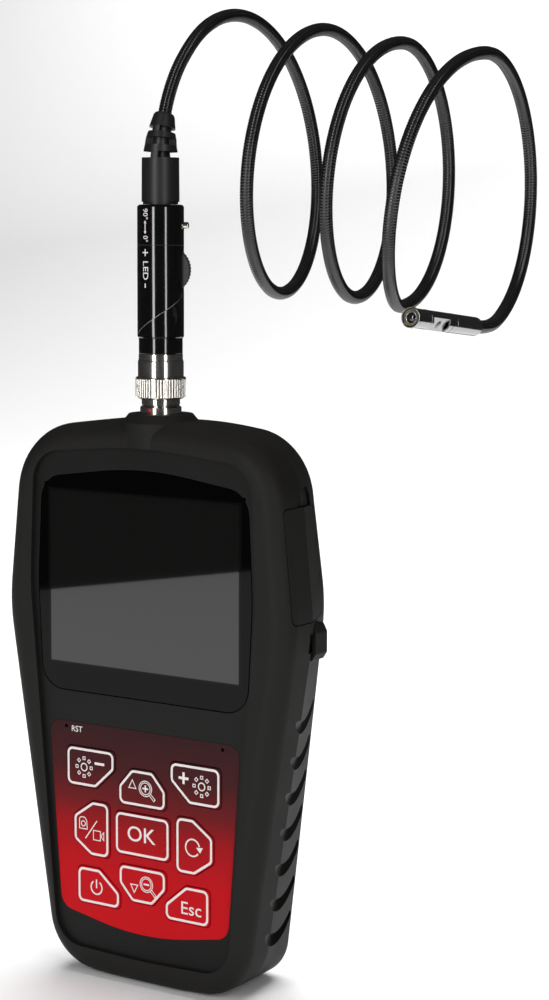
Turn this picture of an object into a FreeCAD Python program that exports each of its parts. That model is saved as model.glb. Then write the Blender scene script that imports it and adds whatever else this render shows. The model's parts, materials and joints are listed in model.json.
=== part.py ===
import FreeCAD, Part
import math
import os

# Handheld inspection camera: a rubber-booted handset with a screen and keypad, and a plug-in
# probe whose handle carries a stay-put gooseneck with a two-way camera head.
# Millimetres. +Z runs up the handset, the screen faces -Y, and the origin is on the ground
# under the middle of the handset, which stands on the flat of its lower edge.

os.makedirs("parts", exist_ok=True)

V = FreeCAD.Vector

# ------------------------------------------------------------------ driving dimensions
# Handset outline, right half from the top downwards: (x, z, corner radius).
FRONT_OUTLINE = [(0, 173.0, 150), (47.5, 167.0, 23), (53.2, 113.0, 60), (35.4, 1.6, 18), (13.0, 0, 60)]
BACK_OUTLINE = [(0, 170.9, 150), (36.6, 166.1, 21), (43.6, 118.0, 60), (30.3, 1.2, 11), (11.0, 0, 60)]
DEPTH = 35.0                # front lip of the boot to its back
STRAIGHT_SIDE_END = -4.0    # y where the sides start to close in towards the back
BOOT_WALL = 2.6
BOOT_LIP = 1.5              # how far the front lip stands in front of the face
BOOT_BACK_LIP = 1.2
BOOT_FRONT_RADIUS = 6.0
BOOT_BACK_RADIUS = 5.0
BACK_OPENING_INSET = 6.5
CASE_WALL = 2.0
CASE_EDGE_RADIUS = 1.2
CASE_BEVEL = 1.0
FIT = 0.1                   # between pieces that sit in one another
RUNNING = 0.06              # radial, shafts and the plug
TOUCH_GAP = 0.25            # round moving keys and covers

# Face of the handset
FACE_OPENING = [(0, 164.0, 150), (40.2, 160.4, 10), (41.9, 120.0, 90), (32.0, 8.9, 10), (0, 8.0, 200)]
LENS_OUTLINE = [(0, 157.8, 120), (38.2, 152.6, 8), (39.9, 121.0, 90), (38.2, 87.8, 8)]
LENS_THICKNESS = 1.6
SCREEN_CENTRE_Z = 122.8
SCREEN_HALF = (35.04, 26.28)            # lit area of a 3.5 inch 4:3 panel
SCREEN_MARGIN = 0.95
GASKET_WALL = 1.2
GASKET_DEPTH = 1.95
LCD_GLASS_HALF = (37.6, 30.5)
LCD_GLASS_THICKNESS = 1.8
LCD_FRAME_HALF = (38.4, 31.9)
OVERLAY_OUTLINE = [(35.8, 78.3, 4), (31.4, 20.0, 5), (0, 14.2, 90)]
OVERLAY_THICKNESS = 0.3
PINHOLE = (29.3, 76.6, 0.6)             # x, z, radius: reset on the left, microphone on the right

# Keys, each an outline of (x, z) corners; those in MIRRORED_KEYS have a twin on the other side
KEY_CORNER = 1.7
KEY_OUTLINES = {
    "key_light_down": [(-28.9, 70.9), (-10.4, 70.9), (-10.4, 65.0), (-17.5, 58.6), (-28.9, 58.6)],
    "key_zoom_in": [(-4.0, 66.7), (4.0, 66.7), (8.9, 61.2), (8.9, 55.2), (-8.9, 55.2), (-8.9, 61.2)],
    "key_capture": [(-19.0, 54.6), (-12.5, 54.6), (-12.5, 37.4), (-19.6, 37.4), (-26.3, 41.9), (-26.3, 49.6)],
    "key_ok": [(-10.3, 53.1), (10.3, 53.1), (10.3, 39.8), (-10.3, 39.8)],
    "key_power": [(-24.9, 33.8), (-16.2, 33.8), (-8.5, 27.4), (-8.5, 22.3), (-24.9, 22.3)],
    "key_zoom_out": [(-8.9, 36.8), (8.9, 36.8), (8.9, 30.9), (3.9, 25.5), (-3.9, 25.5), (-8.9, 30.9)],
}
MIRRORED_KEYS = {"key_light_down": "key_light_up", "key_capture": "key_rotate", "key_power": "key_escape"}
KEY_STAND = 0.45            # how far a key stands out of the face
KEY_TRAVEL = 0.35
KEY_FLANGE = 0.7
KEY_FLANGE_THICKNESS = 0.6
DOME_RADIUS = 3.0
DOME_HEIGHT = 0.45
BOARD_THICKNESS = 1.2
MAIN_BOARD_THICKNESS = 1.6
MAIN_BOARD_Y = -6.0         # front side of the main board
MAIN_BOARD_Z = (13.4, 153.6)
MAIN_BOARD_INSET = 6.6

# Screws and posts: (x, z), each with a twin at -x
CASE_SCREWS = [(22.5, 157.8), (30.2, 85.5), (17.0, 9.8)]
BOARD_SCREWS = [(42.2, 100.0), (35.5, 60.0)]
POST_RADIUS = 2.9
BOARD_POST_RADIUS = 2.0
SCREW_RADIUS = 1.0
SCREW_HEAD_RADIUS = 2.1
SCREW_HEAD_HEIGHT = 1.3

# Battery bay in the back
BAY_HALF_WIDTH = 18.4
BAY_Z = (22.4, 77.6)
BAY_FLOOR_Y = 3.2
BAY_WALL = 1.1
DOOR_MARGIN = 1.8
DOOR_TAB = 6.5
DOOR_THICKNESS = 1.0

# Ports on the right side and their cover
COVER_Y = (-13.8, 11.0)
COVER_Z = (115.2, 148.5)
COVER_THICKNESS = 2.1
COVER_HINGE = (52.9, 115.5)     # x, z of the line it folds about
COVER_GAP = 0.3
WINDOW_Y = (-9.0, 6.0)
WINDOW_Z = (117.5, 146.8)
NOTCH_RADIUS = 7.5
NOTCH_DEPTH = 1.0
SOCKET_END_X = 45.9
CARD_SIZE = (15.0, 1.0, 11.0)
CARD_Z = 118.4

# Strap lugs, one each side: outline (x, z), y range, and the slot through them
LUG_OUTLINE = [(46.0, 114.4), (51.6, 114.0), (52.9, 111.6), (52.9, 105.4), (51.6, 103.4), (46.0, 101.6)]
LUG_Y = (-2.6, 3.4)
LUG_SLOT_X = (50.4, 51.6)
LUG_SLOT_Z = (105.8, 111.6)

# Grip grooves on each side of the boot
GROOVE_COUNT = 7
GROOVE_TOP_Z = 82.6
GROOVE_PITCH = 10.95
GROOVE_BEND = 17.0
GROOVE_RADIUS = 2.1
GROOVE_DEPTH = 1.05
GROOVE_Y = 2.0
GROOVE_SWEEP = 82.0

# Probe axis and the stack of turned pieces on it, as heights
AXIS_Y = -6.7
BOSS_TOP = 173.2
BOSS_BASE_RADIUS = 11.6
BOSS_TOP_RADIUS = 9.6
FLANGE_TOP = 175.5
FLANGE_RADIUS = 6.15
RECEPTACLE_RADIUS = 5.2
RECEPTACLE_BORE = 4.2
RECEPTACLE_BOTTOM = 156.0
PIN_CIRCLE = 2.2
PIN_RADIUS = 0.4
PIN_COUNT = 6
NUT_HEIGHT = 3.0
NUT_ACROSS = 13.0
SPIGOT_LENGTH = 9.5
NOSE_RADIUS = 5.7
RING_BOTTOM = 177.6
RING_TOP = 184.1
RING_RADIUS = 7.5
RING_FLUTES = 54
FLUTE_DEPTH = 0.28
CORE_RADIUS = 5.3               # under the ring, which the wider nose keeps on
SLEEVE_TOP = 190.9
SLEEVE_RADIUS = 6.8
NECK_TOP = 195.7
NECK_RADIUS = 6.5
HANDLE_RADIUS = 6.9
HANDLE_WALL = 1.0
HANDLE_SPLIT_LOW = 195.4        # the winding seam's height on one side of the handle
HANDLE_SPLIT_HIGH = 210.0       # and on the other
HANDLE_SPLIT_REACH = 7.0        # how far out on each side it gets there
HANDLE_SPLIT_TURN = 34.0        # degrees from +X to the high side
HANDLE_SEAM = 223.0
HANDLE_TOP = 234.8
CONTROL_TURN = 28.0             # degrees from +X to the side the wheel and the button are on
WHEEL_RADIUS = 7.2
WHEEL_WIDTH = 2.9
WHEEL_OFFSET = 1.75
WHEEL_Z = 215.7
WHEEL_AXLE_RADIUS = 0.8
WHEEL_NOTCHES = 44
BUTTON_Z = 228.7
BUTTON_RADIUS = 1.0
BUTTON_OUT = 8.4                # its outer end, from the axis
BUTTON_TRAVEL = 0.5

# Strain relief: (height, radius) up the outside, then the slots cut across it
RELIEF_PROFILE = [(235.6, 5.6), (248.5, 5.5), (250.2, 5.05), (252.0, 4.7), (254.0, 4.5), (255.7, 4.05),
                  (257.1, 3.9), (260.6, 3.15), (261.1, 2.8)]
RELIEF_SLOTS = [(248.5, 250.2, 71), (252.0, 254.0, 0), (255.7, 257.1, 66)]
RELIEF_CORE = 3.0
RELIEF_RIB = 2.2
RELIEF_BEND_FROM = 248.5        # above this the gooseneck pulls it back
RELIEF_LEAN = 2.0

# Gooseneck: where it leaves the relief, then a loose coil. Each list gives, at every half turn
# from the top of the first turn on, how far along the coil's line that point is, the coil's
# radius and the height of its middle.
CORD_RADIUS = 2.0
LEAD_IN_RUN = 9.9
COIL_LINE_Y = 35.0
COIL_TURN_OFF = 9.2             # degrees from +X to the coil's line
COIL_ALONG = [0.7, 13.6, 28.3, 38.6, 54.3, 53.4, 79.6, 79.2]
COIL_RADII = [42.1, 38.2, 40.1, 39.8, 38.8, 35.7, 39.8, 43.2]
COIL_HEIGHTS = [250.0, 246.2, 247.3, 247.0, 243.8, 240.6, 239.4, 242.0]
COIL_POINTS_PER_TURN = 18
COIL_START = -40.0              # degrees, 0 is the top of the first turn
COIL_END = 1240.0
CHORD_SHARE = 0.985             # the spline through these points runs this much inside them
TUBE_BEND_SHARE = 0.45
HEAD_RUN = 8.0                  # straight length before the head

# Camera head
HEAD_REAR = V(78.8, 42.0, 199.5)
HEAD_DIRECTION = V(0.06, -0.993, 0.10)
HEAD_LENGTH = 41.0
HEAD_RADIUS = 2.8
HEAD_WALL = 0.4
BEZEL_RADIUS = 3.0
BEZEL_LENGTH = 3.0
SIDE_VIEW_TURN = -35.0          # degrees, the side window looks out and down
SIDE_WINDOW = (9.4, 19.6)       # from the front end
SIDE_FLAT = 2.15                # half width of the flat the side view sits in

# Derived places
FRONT_Y = -DEPTH / 2
BACK_Y = DEPTH / 2
FACE_Y = FRONT_Y + BOOT_LIP
PLATE_BACK_Y = FACE_Y + CASE_WALL + 0.2
CASE_BACK_Y = BACK_Y - BOOT_BACK_LIP
KEY_BOARD_Y = PLATE_BACK_Y + FIT + KEY_FLANGE_THICKNESS + KEY_TRAVEL + FIT + DOME_HEIGHT + 0.2
LCD_FRONT_Y = FACE_Y + LENS_THICKNESS + FIT + GASKET_DEPTH + 0.05
AXIS = V(0, AXIS_Y, 0)


# ------------------------------------------------------------------ small builders
def save(name, shape):
    shape.exportStep("parts/" + name + ".step")


def on_y(y):
    return lambda a, b: V(a, y, b)


def on_x(x):
    return lambda a, b: V(x, a, b)


def on_z(z):
    return lambda a, b: V(a, b, z)


def both_sides(half):
    """The full outline from its right half, mirrored in x = 0."""
    left = [(-x, z, r) for x, z, r in reversed(half) if x > 0]
    return list(half) + left


def inset(points, d):
    """Move every side of a clockwise outline inwards by d, and shrink its corners to match."""
    moved = []
    for i, (x, z, r) in enumerate(points):
        before = points[i - 1]
        after = points[(i + 1) % len(points)]
        sides = []
        for (x0, z0, _), (x1, z1, _) in ((before, points[i]), (points[i], after)):
            size = math.hypot(x1 - x0, z1 - z0)
            ux, uz = (x1 - x0) / size, (z1 - z0) / size
            sides.append((x0 + uz * d, z0 - ux * d, ux, uz))
        (ax, az, ux, uz), (bx, bz, wx, wz) = sides
        cross = ux * wz - uz * wx
        t = ((bx - ax) * wz - (bz - az) * wx) / cross
        moved.append((ax + ux * t, az + uz * t, max(r - d, 0)))
    return moved


def outline(points, place):
    """A closed wire through the corners, each rounded to its own radius."""
    corners = []
    for i, (x, z, r) in enumerate(points):
        x0, z0, _ = points[i - 1]
        x1, z1, _ = points[(i + 1) % len(points)]
        back = V(x0 - x, z0 - z, 0).normalize()
        ahead = V(x1 - x, z1 - z, 0).normalize()
        half_turn = (math.pi - back.getAngle(ahead)) / 2
        corner = V(x, z, 0)
        if r <= 0 or half_turn < 1e-6:
            corners.append((corner, None, corner))
            continue
        reach = r * math.tan(half_turn)
        inward = (back + ahead).normalize()
        middle = corner + inward * (r / math.cos(half_turn) - r)
        corners.append((corner + back * reach, middle, corner + ahead * reach))
    edges = []
    for i, (start, middle, end) in enumerate(corners):
        leave = corners[i - 1][2]
        if (start - leave).Length > 1e-6:
            edges.append(Part.makeLine(place(leave.x, leave.y), place(start.x, start.y)))
        if middle is not None:
            arc = Part.Arc(place(start.x, start.y), place(middle.x, middle.y), place(end.x, end.y))
            edges.append(arc.toShape())
    return Part.Wire(edges)


def prism_y(points, y0, y1):
    return Part.Face(outline(points, on_y(y0))).extrude(V(0, y1 - y0, 0))


def prism_x(points, x0, x1):
    return Part.Face(outline(points, on_x(x0))).extrude(V(x1 - x0, 0, 0))


def box(x0, x1, y0, y1, z0, z1):
    return Part.makeBox(x1 - x0, y1 - y0, z1 - z0, V(x0, y0, z0))


def rod_y(x, z, radius, y0, y1):
    return Part.makeCylinder(radius, y1 - y0, V(x, y0, z), V(0, 1, 0))


def rod_z(radius, z0, z1, centre=AXIS):
    return Part.makeCylinder(radius, z1 - z0, V(centre.x, centre.y, z0), V(0, 0, 1))


def turned(profile):
    """A solid of revolution about the probe's axis from (height, radius) points."""
    points = [V(0, AXIS_Y, profile[0][0])]
    points += [V(r, AXIS_Y, z) for z, r in profile]
    points += [V(0, AXIS_Y, profile[-1][0]), points[0]]
    return Part.Face(Part.makePolygon(points)).revolve(AXIS, V(0, 0, 1), 360)


def mirrored(shape):
    return shape.mirror(V(0, 0, 0), V(1, 0, 0))


def pair(shape):
    return [shape, mirrored(shape)]


def flat(points, corner):
    return [(x, z, corner) for x, z in points]


def rectangle(x0, x1, z0, z1, corner):
    return [(x0, z1, corner), (x1, z1, corner), (x1, z0, corner), (x0, z0, corner)]


def cut_all(shape, tools):
    return shape.cut(Part.makeCompound(tools)) if tools else shape


def single(shape):
    """The one solid of a shape that a boolean left in a compound."""
    solids = sorted(shape.Solids, key=lambda s: s.Volume)
    return solids[-1]


# ------------------------------------------------------------------ handset block
def section(y):
    """Handset outline at depth y, closing in from the front one to the back one."""
    share = max(0, (y - STRAIGHT_SIDE_END) / (BACK_Y - STRAIGHT_SIDE_END))
    rows = []
    for (x0, z0, r0), (x1, z1, r1) in zip(FRONT_OUTLINE, BACK_OUTLINE):
        rows.append((x0 + (x1 - x0) * share, z0 + (z1 - z0) * share, r0 + (r1 - r0) * share))
    return both_sides(rows)


def edges_at_y(shape, y):
    return [e for e in shape.Edges if all(abs(v.Y - y) < 1e-4 for v in e.Vertexes)
            and abs(e.BoundBox.YMax - e.BoundBox.YMin) < 1e-4]


def block(d, y0, y1, front_radius=0, back_radius=0, back_bevel=0):
    """The handset's body, shrunk by d all round, between two depths."""
    front = prism_y(inset(section(y0), d), y0, STRAIGHT_SIDE_END)
    rows = [(STRAIGHT_SIDE_END, d), (y1 - back_bevel, d)]
    if back_bevel > 0:
        rows.append((y1, d + back_bevel))
    wires = [outline(inset(section(y), shrink), on_y(y)) for y, shrink in rows]
    back = Part.makeLoft(wires, True, True)
    body = front.fuse(back).removeSplitter()
    if front_radius > 0:
        body = body.makeFillet(front_radius, edges_at_y(body, y0))
    if back_radius > 0:
        body = body.makeFillet(back_radius, edges_at_y(body, y1))
    return single(body)


CASE_BLOCK = block(BOOT_WALL, FACE_Y, CASE_BACK_Y, CASE_EDGE_RADIUS, back_bevel=CASE_BEVEL)
CASE_HOLLOW = block(BOOT_WALL + CASE_WALL, PLATE_BACK_Y, CASE_BACK_Y - CASE_WALL)
BOOT_BLOCK = block(0, FRONT_Y, BACK_Y, BOOT_FRONT_RADIUS, BOOT_BACK_RADIUS)


def cover_region(grow):
    """The prism that the port cover is cut from: a rounded rectangle that its hinge can swing."""
    y0, y1 = COVER_Y
    z0, z1 = COVER_Z
    region = prism_x([(y0 - grow, z1 + grow, 2), (y1 + grow, z1 + grow, 2),
                      (y1 + grow, z0 - grow, 2), (y0 - grow, z0 - grow, 2)], 38, 60)
    hinge_x, hinge_z = COVER_HINGE
    reach = z1 - hinge_z + grow
    swing = rod_y(hinge_x, hinge_z, reach, y0 - 2, y1 + 2)
    return region.common(swing)


def port_window(x0, x1):
    (y0, y1), (z0, z1) = WINDOW_Y, WINDOW_Z
    return prism_x([(y0, z1, 2), (y1, z1, 2), (y1, z0, 2), (y0, z0, 2)], x0, x1)


# ------------------------------------------------------------------ boot
def side_x(y, z):
    """Where the boot's right side is, below the strap lug and behind the straight part."""
    (x0, z0, _), (x1, z1, _) = FRONT_OUTLINE[2], FRONT_OUTLINE[3]
    slope_z = (x0 - x1) / (z0 - z1)
    slope_y = (FRONT_OUTLINE[2][0] - BACK_OUTLINE[2][0]) / (BACK_Y - STRAIGHT_SIDE_END)
    return x0 - (z0 - z) * slope_z - (y - STRAIGHT_SIDE_END) * slope_y, slope_y, slope_z


def grip_groove(z):
    """A crescent groove: part of a ring that lies in the plane of the boot's side."""
    centre_z = z + GROOVE_BEND
    x, slope_y, slope_z = side_x(GROOVE_Y, centre_z)
    out = V(1, slope_y, -slope_z).normalize()
    centre = V(x, GROOVE_Y, centre_z) + out * (GROOVE_RADIUS - GROOVE_DEPTH)
    down = V(0, 0, -1)
    down = (down - out * down.dot(out)).normalize()
    start = centre + down * GROOVE_BEND
    along = out.cross(down)
    disc = Part.Face(Part.Wire(Part.makeCircle(GROOVE_RADIUS, start, along)))
    disc.rotate(centre, out, -GROOVE_SWEEP / 2)
    ring = disc.revolve(centre, out, GROOVE_SWEEP)
    tools = [ring]
    for turn in (-1, 1):
        end = Part.makeSphere(GROOVE_RADIUS, start)
        end.rotate(centre, out, turn * GROOVE_SWEEP / 2)
        tools.append(end)
    return tools


def socket_boss():
    """The raised round pad under the probe socket on top of the boot."""
    return turned([(160.0, BOSS_BASE_RADIUS), (BOSS_TOP - 2.4, BOSS_BASE_RADIUS), (BOSS_TOP, BOSS_TOP_RADIUS)])


def strap_lug():
    lug = prism_y(flat(LUG_OUTLINE, 0.8), *LUG_Y)
    slot = box(*LUG_SLOT_X, LUG_Y[0] - 1, LUG_Y[1] + 1, *LUG_SLOT_Z)
    recess = box(LUG_SLOT_X[0], 60, LUG_Y[0] - 2.6, LUG_Y[0], *LUG_SLOT_Z)
    return lug, slot.fuse(recess).removeSplitter()


def rubber_boot():
    lug, slot = strap_lug()
    solid = BOOT_BLOCK.fuse([socket_boss()] + pair(lug))
    hollow = block(BOOT_WALL - FIT / 2, FACE_Y - FIT / 2, CASE_BACK_Y + FIT / 2, CASE_EDGE_RADIUS,
                   back_bevel=CASE_BEVEL)
    back_hole = inset(section(BACK_Y), BACK_OPENING_INSET)
    tools = [hollow]
    tools.append(prism_y(both_sides(FACE_OPENING), FRONT_Y - 1, FACE_Y + 1))
    tools.append(prism_y(back_hole, CASE_BACK_Y - 1, BACK_Y + 1))
    tools.append(rod_z(RECEPTACLE_RADIUS + FIT, 160, BOSS_TOP + 1))
    tools += pair(slot)
    tools.append(cover_region(COVER_GAP))
    hinge_x = COVER_HINGE[0]
    scoop = prism_x([(-NOTCH_RADIUS, COVER_Z[1] + 5.0, 4.9), (NOTCH_RADIUS, COVER_Z[1] + 5.0, 4.9),
                     (NOTCH_RADIUS, COVER_Z[1] - 2, 0), (-NOTCH_RADIUS, COVER_Z[1] - 2, 0)], 38, hinge_x + 5)
    floor = block(NOTCH_DEPTH, FRONT_Y + NOTCH_DEPTH, BACK_Y - NOTCH_DEPTH, 5, 4)
    tools.append(scoop.cut(floor))
    for k in range(GROOVE_COUNT):
        for tool in grip_groove(GROOVE_TOP_Z - k * GROOVE_PITCH):
            tools += pair(tool)
    boot = solid
    for tool in tools:
        boot = boot.cut(tool)
    return single(boot)


def port_cover():
    inner = block(COVER_THICKNESS, FRONT_Y + COVER_THICKNESS, BACK_Y - COVER_THICKNESS,
                  BOOT_FRONT_RADIUS - COVER_THICKNESS, BOOT_BACK_RADIUS - COVER_THICKNESS)
    case = block(BOOT_WALL - COVER_GAP, FACE_Y - COVER_GAP, CASE_BACK_Y, CASE_EDGE_RADIUS)
    return single(BOOT_BLOCK.common(cover_region(0)).cut(inner).cut(case))


# ------------------------------------------------------------------ case
def all_keys():
    keys = {}
    for name, points in KEY_OUTLINES.items():
        keys[name] = flat(points, KEY_CORNER)
        if name in MIRRORED_KEYS:
            keys[MIRRORED_KEYS[name]] = [(-x, z, r) for x, z, r in reversed(keys[name])]
    return keys


def front_housing():
    shell = CASE_BLOCK.cut(CASE_HOLLOW)
    shell = shell.common(box(-80, 80, FACE_Y - 1, 0, -1, 200))
    posts = []
    holes = []
    for x, z in CASE_SCREWS:
        posts += pair(rod_y(x, z, POST_RADIUS, PLATE_BACK_Y - FIT, -FIT))
        holes += pair(rod_y(x, z, SCREW_RADIUS, -9, 1))
    for x, z in BOARD_SCREWS:
        posts += pair(rod_y(x, z, BOARD_POST_RADIUS, PLATE_BACK_Y - FIT, MAIN_BOARD_Y - 0.05))
        holes += pair(rod_y(x, z, SCREW_RADIUS, -11, 1))
    for x, z in ((29.3, 33.0), (-29.3, 33.0), (0, 75.0), (0, 18.6)):
        posts.append(rod_y(x, z, 1.2, PLATE_BACK_Y - FIT, KEY_BOARD_Y - 0.05))
    shell = shell.fuse(posts)
    lens = prism_y(inset(both_sides(LENS_OUTLINE), -FIT), FACE_Y - 1, FACE_Y + LENS_THICKNESS + 0.05)
    half_x = SCREEN_HALF[0] + SCREEN_MARGIN + GASKET_WALL + FIT
    half_z = SCREEN_HALF[1] + SCREEN_MARGIN + GASKET_WALL + FIT
    window = box(-half_x, half_x, FACE_Y, 0, SCREEN_CENTRE_Z - half_z, SCREEN_CENTRE_Z + half_z)
    tray = box(-LCD_FRAME_HALF[0] - FIT, LCD_FRAME_HALF[0] + FIT, LCD_FRONT_Y - 0.3, -1,
               SCREEN_CENTRE_Z - LCD_FRAME_HALF[1] - FIT, SCREEN_CENTRE_Z + LCD_FRAME_HALF[1] + FIT)
    overlay = prism_y(inset(both_sides(OVERLAY_OUTLINE), -FIT), FACE_Y - 1, FACE_Y + OVERLAY_THICKNESS + 0.02)
    holes += [lens, window, tray, overlay]
    for points in all_keys().values():
        holes.append(prism_y(inset(points, -TOUCH_GAP), FACE_Y - 1, PLATE_BACK_Y + 1))
    x, z, r = PINHOLE
    holes += pair(rod_y(x, z, r, FACE_Y - 1, PLATE_BACK_Y + 1))
    holes.append(rod_z(RECEPTACLE_RADIUS + FIT, 160, 175))
    holes.append(port_window(40, 60))
    for tool in holes:
        shell = shell.cut(tool)
    return single(shell)


def door_outline(grow):
    low, high = BAY_Z
    half = BAY_HALF_WIDTH + DOOR_MARGIN + grow
    return rectangle(-half, half, low - DOOR_MARGIN - grow, high + DOOR_TAB + grow, 3)


def rear_housing():
    shell = CASE_BLOCK.cut(CASE_HOLLOW)
    shell = shell.common(box(-80, 80, 0, CASE_BACK_Y + 1, -1, 200))
    back_inner = CASE_BACK_Y - CASE_WALL
    low, high = BAY_Z
    bay = box(-BAY_HALF_WIDTH - BAY_WALL, BAY_HALF_WIDTH + BAY_WALL, BAY_FLOOR_Y - BAY_WALL, back_inner + 0.2,
              low - BAY_WALL, high + BAY_WALL)
    posts = [bay]
    holes = [box(-BAY_HALF_WIDTH, BAY_HALF_WIDTH, BAY_FLOOR_Y, CASE_BACK_Y + 1, low, high)]
    for x, z in CASE_SCREWS:
        posts += pair(rod_y(x, z, POST_RADIUS, 0, back_inner + 0.2))
        holes += pair(rod_y(x, z, SCREW_RADIUS + FIT, -1, CASE_BACK_Y + 1))
        holes += pair(rod_y(x, z, SCREW_HEAD_RADIUS + FIT, CASE_BACK_Y - SCREW_HEAD_HEIGHT - 0.2, CASE_BACK_Y + 1))
    door_z = high + DOOR_TAB / 2
    posts.append(rod_y(0, door_z, POST_RADIUS, 8, back_inner + 0.2))
    holes.append(rod_y(0, door_z, SCREW_RADIUS, 9, CASE_BACK_Y + 1))
    holes.append(prism_y(door_outline(FIT), CASE_BACK_Y - DOOR_THICKNESS - 0.05, CASE_BACK_Y + 1))
    holes.append(port_window(38, 60))
    shell = shell.fuse(posts)
    for tool in holes:
        shell = shell.cut(tool)
    return single(shell)


def case_screws():
    screws = []
    for x, z in CASE_SCREWS:
        head_y = CASE_BACK_Y - SCREW_HEAD_HEIGHT - 0.2
        head = rod_y(x, z, SCREW_HEAD_RADIUS, head_y, head_y + SCREW_HEAD_HEIGHT)
        shank = rod_y(x, z, SCREW_RADIUS, -8, head_y + 0.1)
        slot = cross_slot(x, head_y + SCREW_HEAD_HEIGHT, z)
        screws += pair(cut_all(head.fuse(shank).removeSplitter(), slot))
    return Part.makeCompound([single(s) for s in screws])


def cross_slot(x, y, z):
    """Cross recess in a screw head whose top is at y, facing +Y."""
    long, wide, deep = 1.2, 0.3, 0.7
    return [box(x - long, x + long, y - deep, y + 1, z - wide, z + wide),
            box(x - wide, x + wide, y - deep, y + 1, z - long, z + long)]


def battery_door():
    door = prism_y(door_outline(0), CASE_BACK_Y - DOOR_THICKNESS, CASE_BACK_Y)
    door_z = BAY_Z[1] + DOOR_TAB / 2
    door = door.cut(rod_y(0, door_z, SCREW_RADIUS + FIT, 0, 30))
    grips = [box(-7, 7, CASE_BACK_Y - 0.4, CASE_BACK_Y + 1, 27 + 2.2 * k, 28 + 2.2 * k) for k in range(5)]
    return single(cut_all(door, grips))


def door_screw():
    door_z = BAY_Z[1] + DOOR_TAB / 2
    head = rod_y(0, door_z, SCREW_HEAD_RADIUS, CASE_BACK_Y, CASE_BACK_Y + 0.9)
    shank = rod_y(0, door_z, SCREW_RADIUS, 10, CASE_BACK_Y + 0.1)
    return single(cut_all(head.fuse(shank).removeSplitter(), cross_slot(0, CASE_BACK_Y + 0.9, door_z)))


def battery_pack():
    low, high = BAY_Z
    half = BAY_HALF_WIDTH - 0.4
    pack = box(-half, half, BAY_FLOOR_Y + FIT, CASE_BACK_Y - DOOR_THICKNESS - 0.4, low + 0.4, high - 0.4)
    return pack.makeFillet(2.0, [e for e in pack.Edges if e.BoundBox.ZLength > 20])


# ------------------------------------------------------------------ screen and keypad
def display_lens():
    lens = prism_y(both_sides(LENS_OUTLINE), FACE_Y, FACE_Y + LENS_THICKNESS)
    return lens.makeChamfer(0.25, edges_at_y(lens, FACE_Y))


def screen_box(half_x, half_z, y0, y1):
    return box(-half_x, half_x, y0, y1, SCREEN_CENTRE_Z - half_z, SCREEN_CENTRE_Z + half_z)


def display_gasket():
    half_x = SCREEN_HALF[0] + SCREEN_MARGIN
    half_z = SCREEN_HALF[1] + SCREEN_MARGIN
    y0 = FACE_Y + LENS_THICKNESS + FIT
    outer = screen_box(half_x + GASKET_WALL, half_z + GASKET_WALL, y0, y0 + GASKET_DEPTH)
    return outer.cut(screen_box(half_x, half_z, y0 - 1, y0 + GASKET_DEPTH + 1))


def lcd_panel():
    return screen_box(*LCD_GLASS_HALF, LCD_FRONT_Y, LCD_FRONT_Y + LCD_GLASS_THICKNESS)


def lcd_frame():
    tray = screen_box(*LCD_FRAME_HALF, LCD_FRONT_Y + 0.3, MAIN_BOARD_Y - FIT)
    seat = screen_box(LCD_GLASS_HALF[0] + FIT, LCD_GLASS_HALF[1] + FIT, LCD_FRONT_Y - 1,
                      LCD_FRONT_Y + LCD_GLASS_THICKNESS + 0.02)
    return tray.cut(seat)


def keypad_overlay():
    film = prism_y(both_sides(OVERLAY_OUTLINE), FACE_Y, FACE_Y + OVERLAY_THICKNESS)
    x, z, r = PINHOLE
    tools = pair(rod_y(x, z, r, FACE_Y - 1, FACE_Y + 1))
    for points in all_keys().values():
        tools.append(prism_y(inset(points, -TOUCH_GAP), FACE_Y - 1, FACE_Y + 1))
    return single(cut_all(film, tools))


def key(points):
    """A key cap: crowned edge in front, and a flange behind the plate that keeps it in."""
    front = FACE_Y - KEY_STAND
    flange_y = PLATE_BACK_Y + FIT
    cap = prism_y(points, front, flange_y + 0.1)
    cap = cap.makeFillet(0.3, edges_at_y(cap, front))
    flange = prism_y(inset(points, -KEY_FLANGE), flange_y, flange_y + KEY_FLANGE_THICKNESS)
    return single(cap.fuse(flange).removeSplitter())


def key_centre(points):
    return sum(p[0] for p in points) / len(points), sum(p[1] for p in points) / len(points)


def key_domes():
    domes = []
    for points in all_keys().values():
        x, z = key_centre(points)
        ball_radius = (DOME_RADIUS ** 2 + DOME_HEIGHT ** 2) / (2 * DOME_HEIGHT)
        ball = Part.makeSphere(ball_radius, V(x, KEY_BOARD_Y - DOME_HEIGHT + ball_radius, z))
        domes.append(single(ball.common(rod_y(x, z, DOME_RADIUS + 0.5, KEY_BOARD_Y - 1, KEY_BOARD_Y))))
    return Part.makeCompound(domes)


def keypad_board():
    return box(-31, 31, KEY_BOARD_Y, KEY_BOARD_Y + BOARD_THICKNESS, 14.5, 79.5)


def reset_switch():
    x, z, _ = PINHOLE
    body = box(-x - 2, -x + 2, KEY_BOARD_Y - 1.0, KEY_BOARD_Y, z - 2, z + 2)
    return body.cut(rod_y(-x, z, 1.25, KEY_BOARD_Y - 2, KEY_BOARD_Y + 1))


def reset_button():
    x, z, _ = PINHOLE
    return rod_y(-x, z, 0.95, KEY_BOARD_Y - 1.35, KEY_BOARD_Y - 0.4)


def microphone():
    x, z, _ = PINHOLE
    return rod_y(x, z, 1.6, KEY_BOARD_Y - 1.1, KEY_BOARD_Y)


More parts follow.
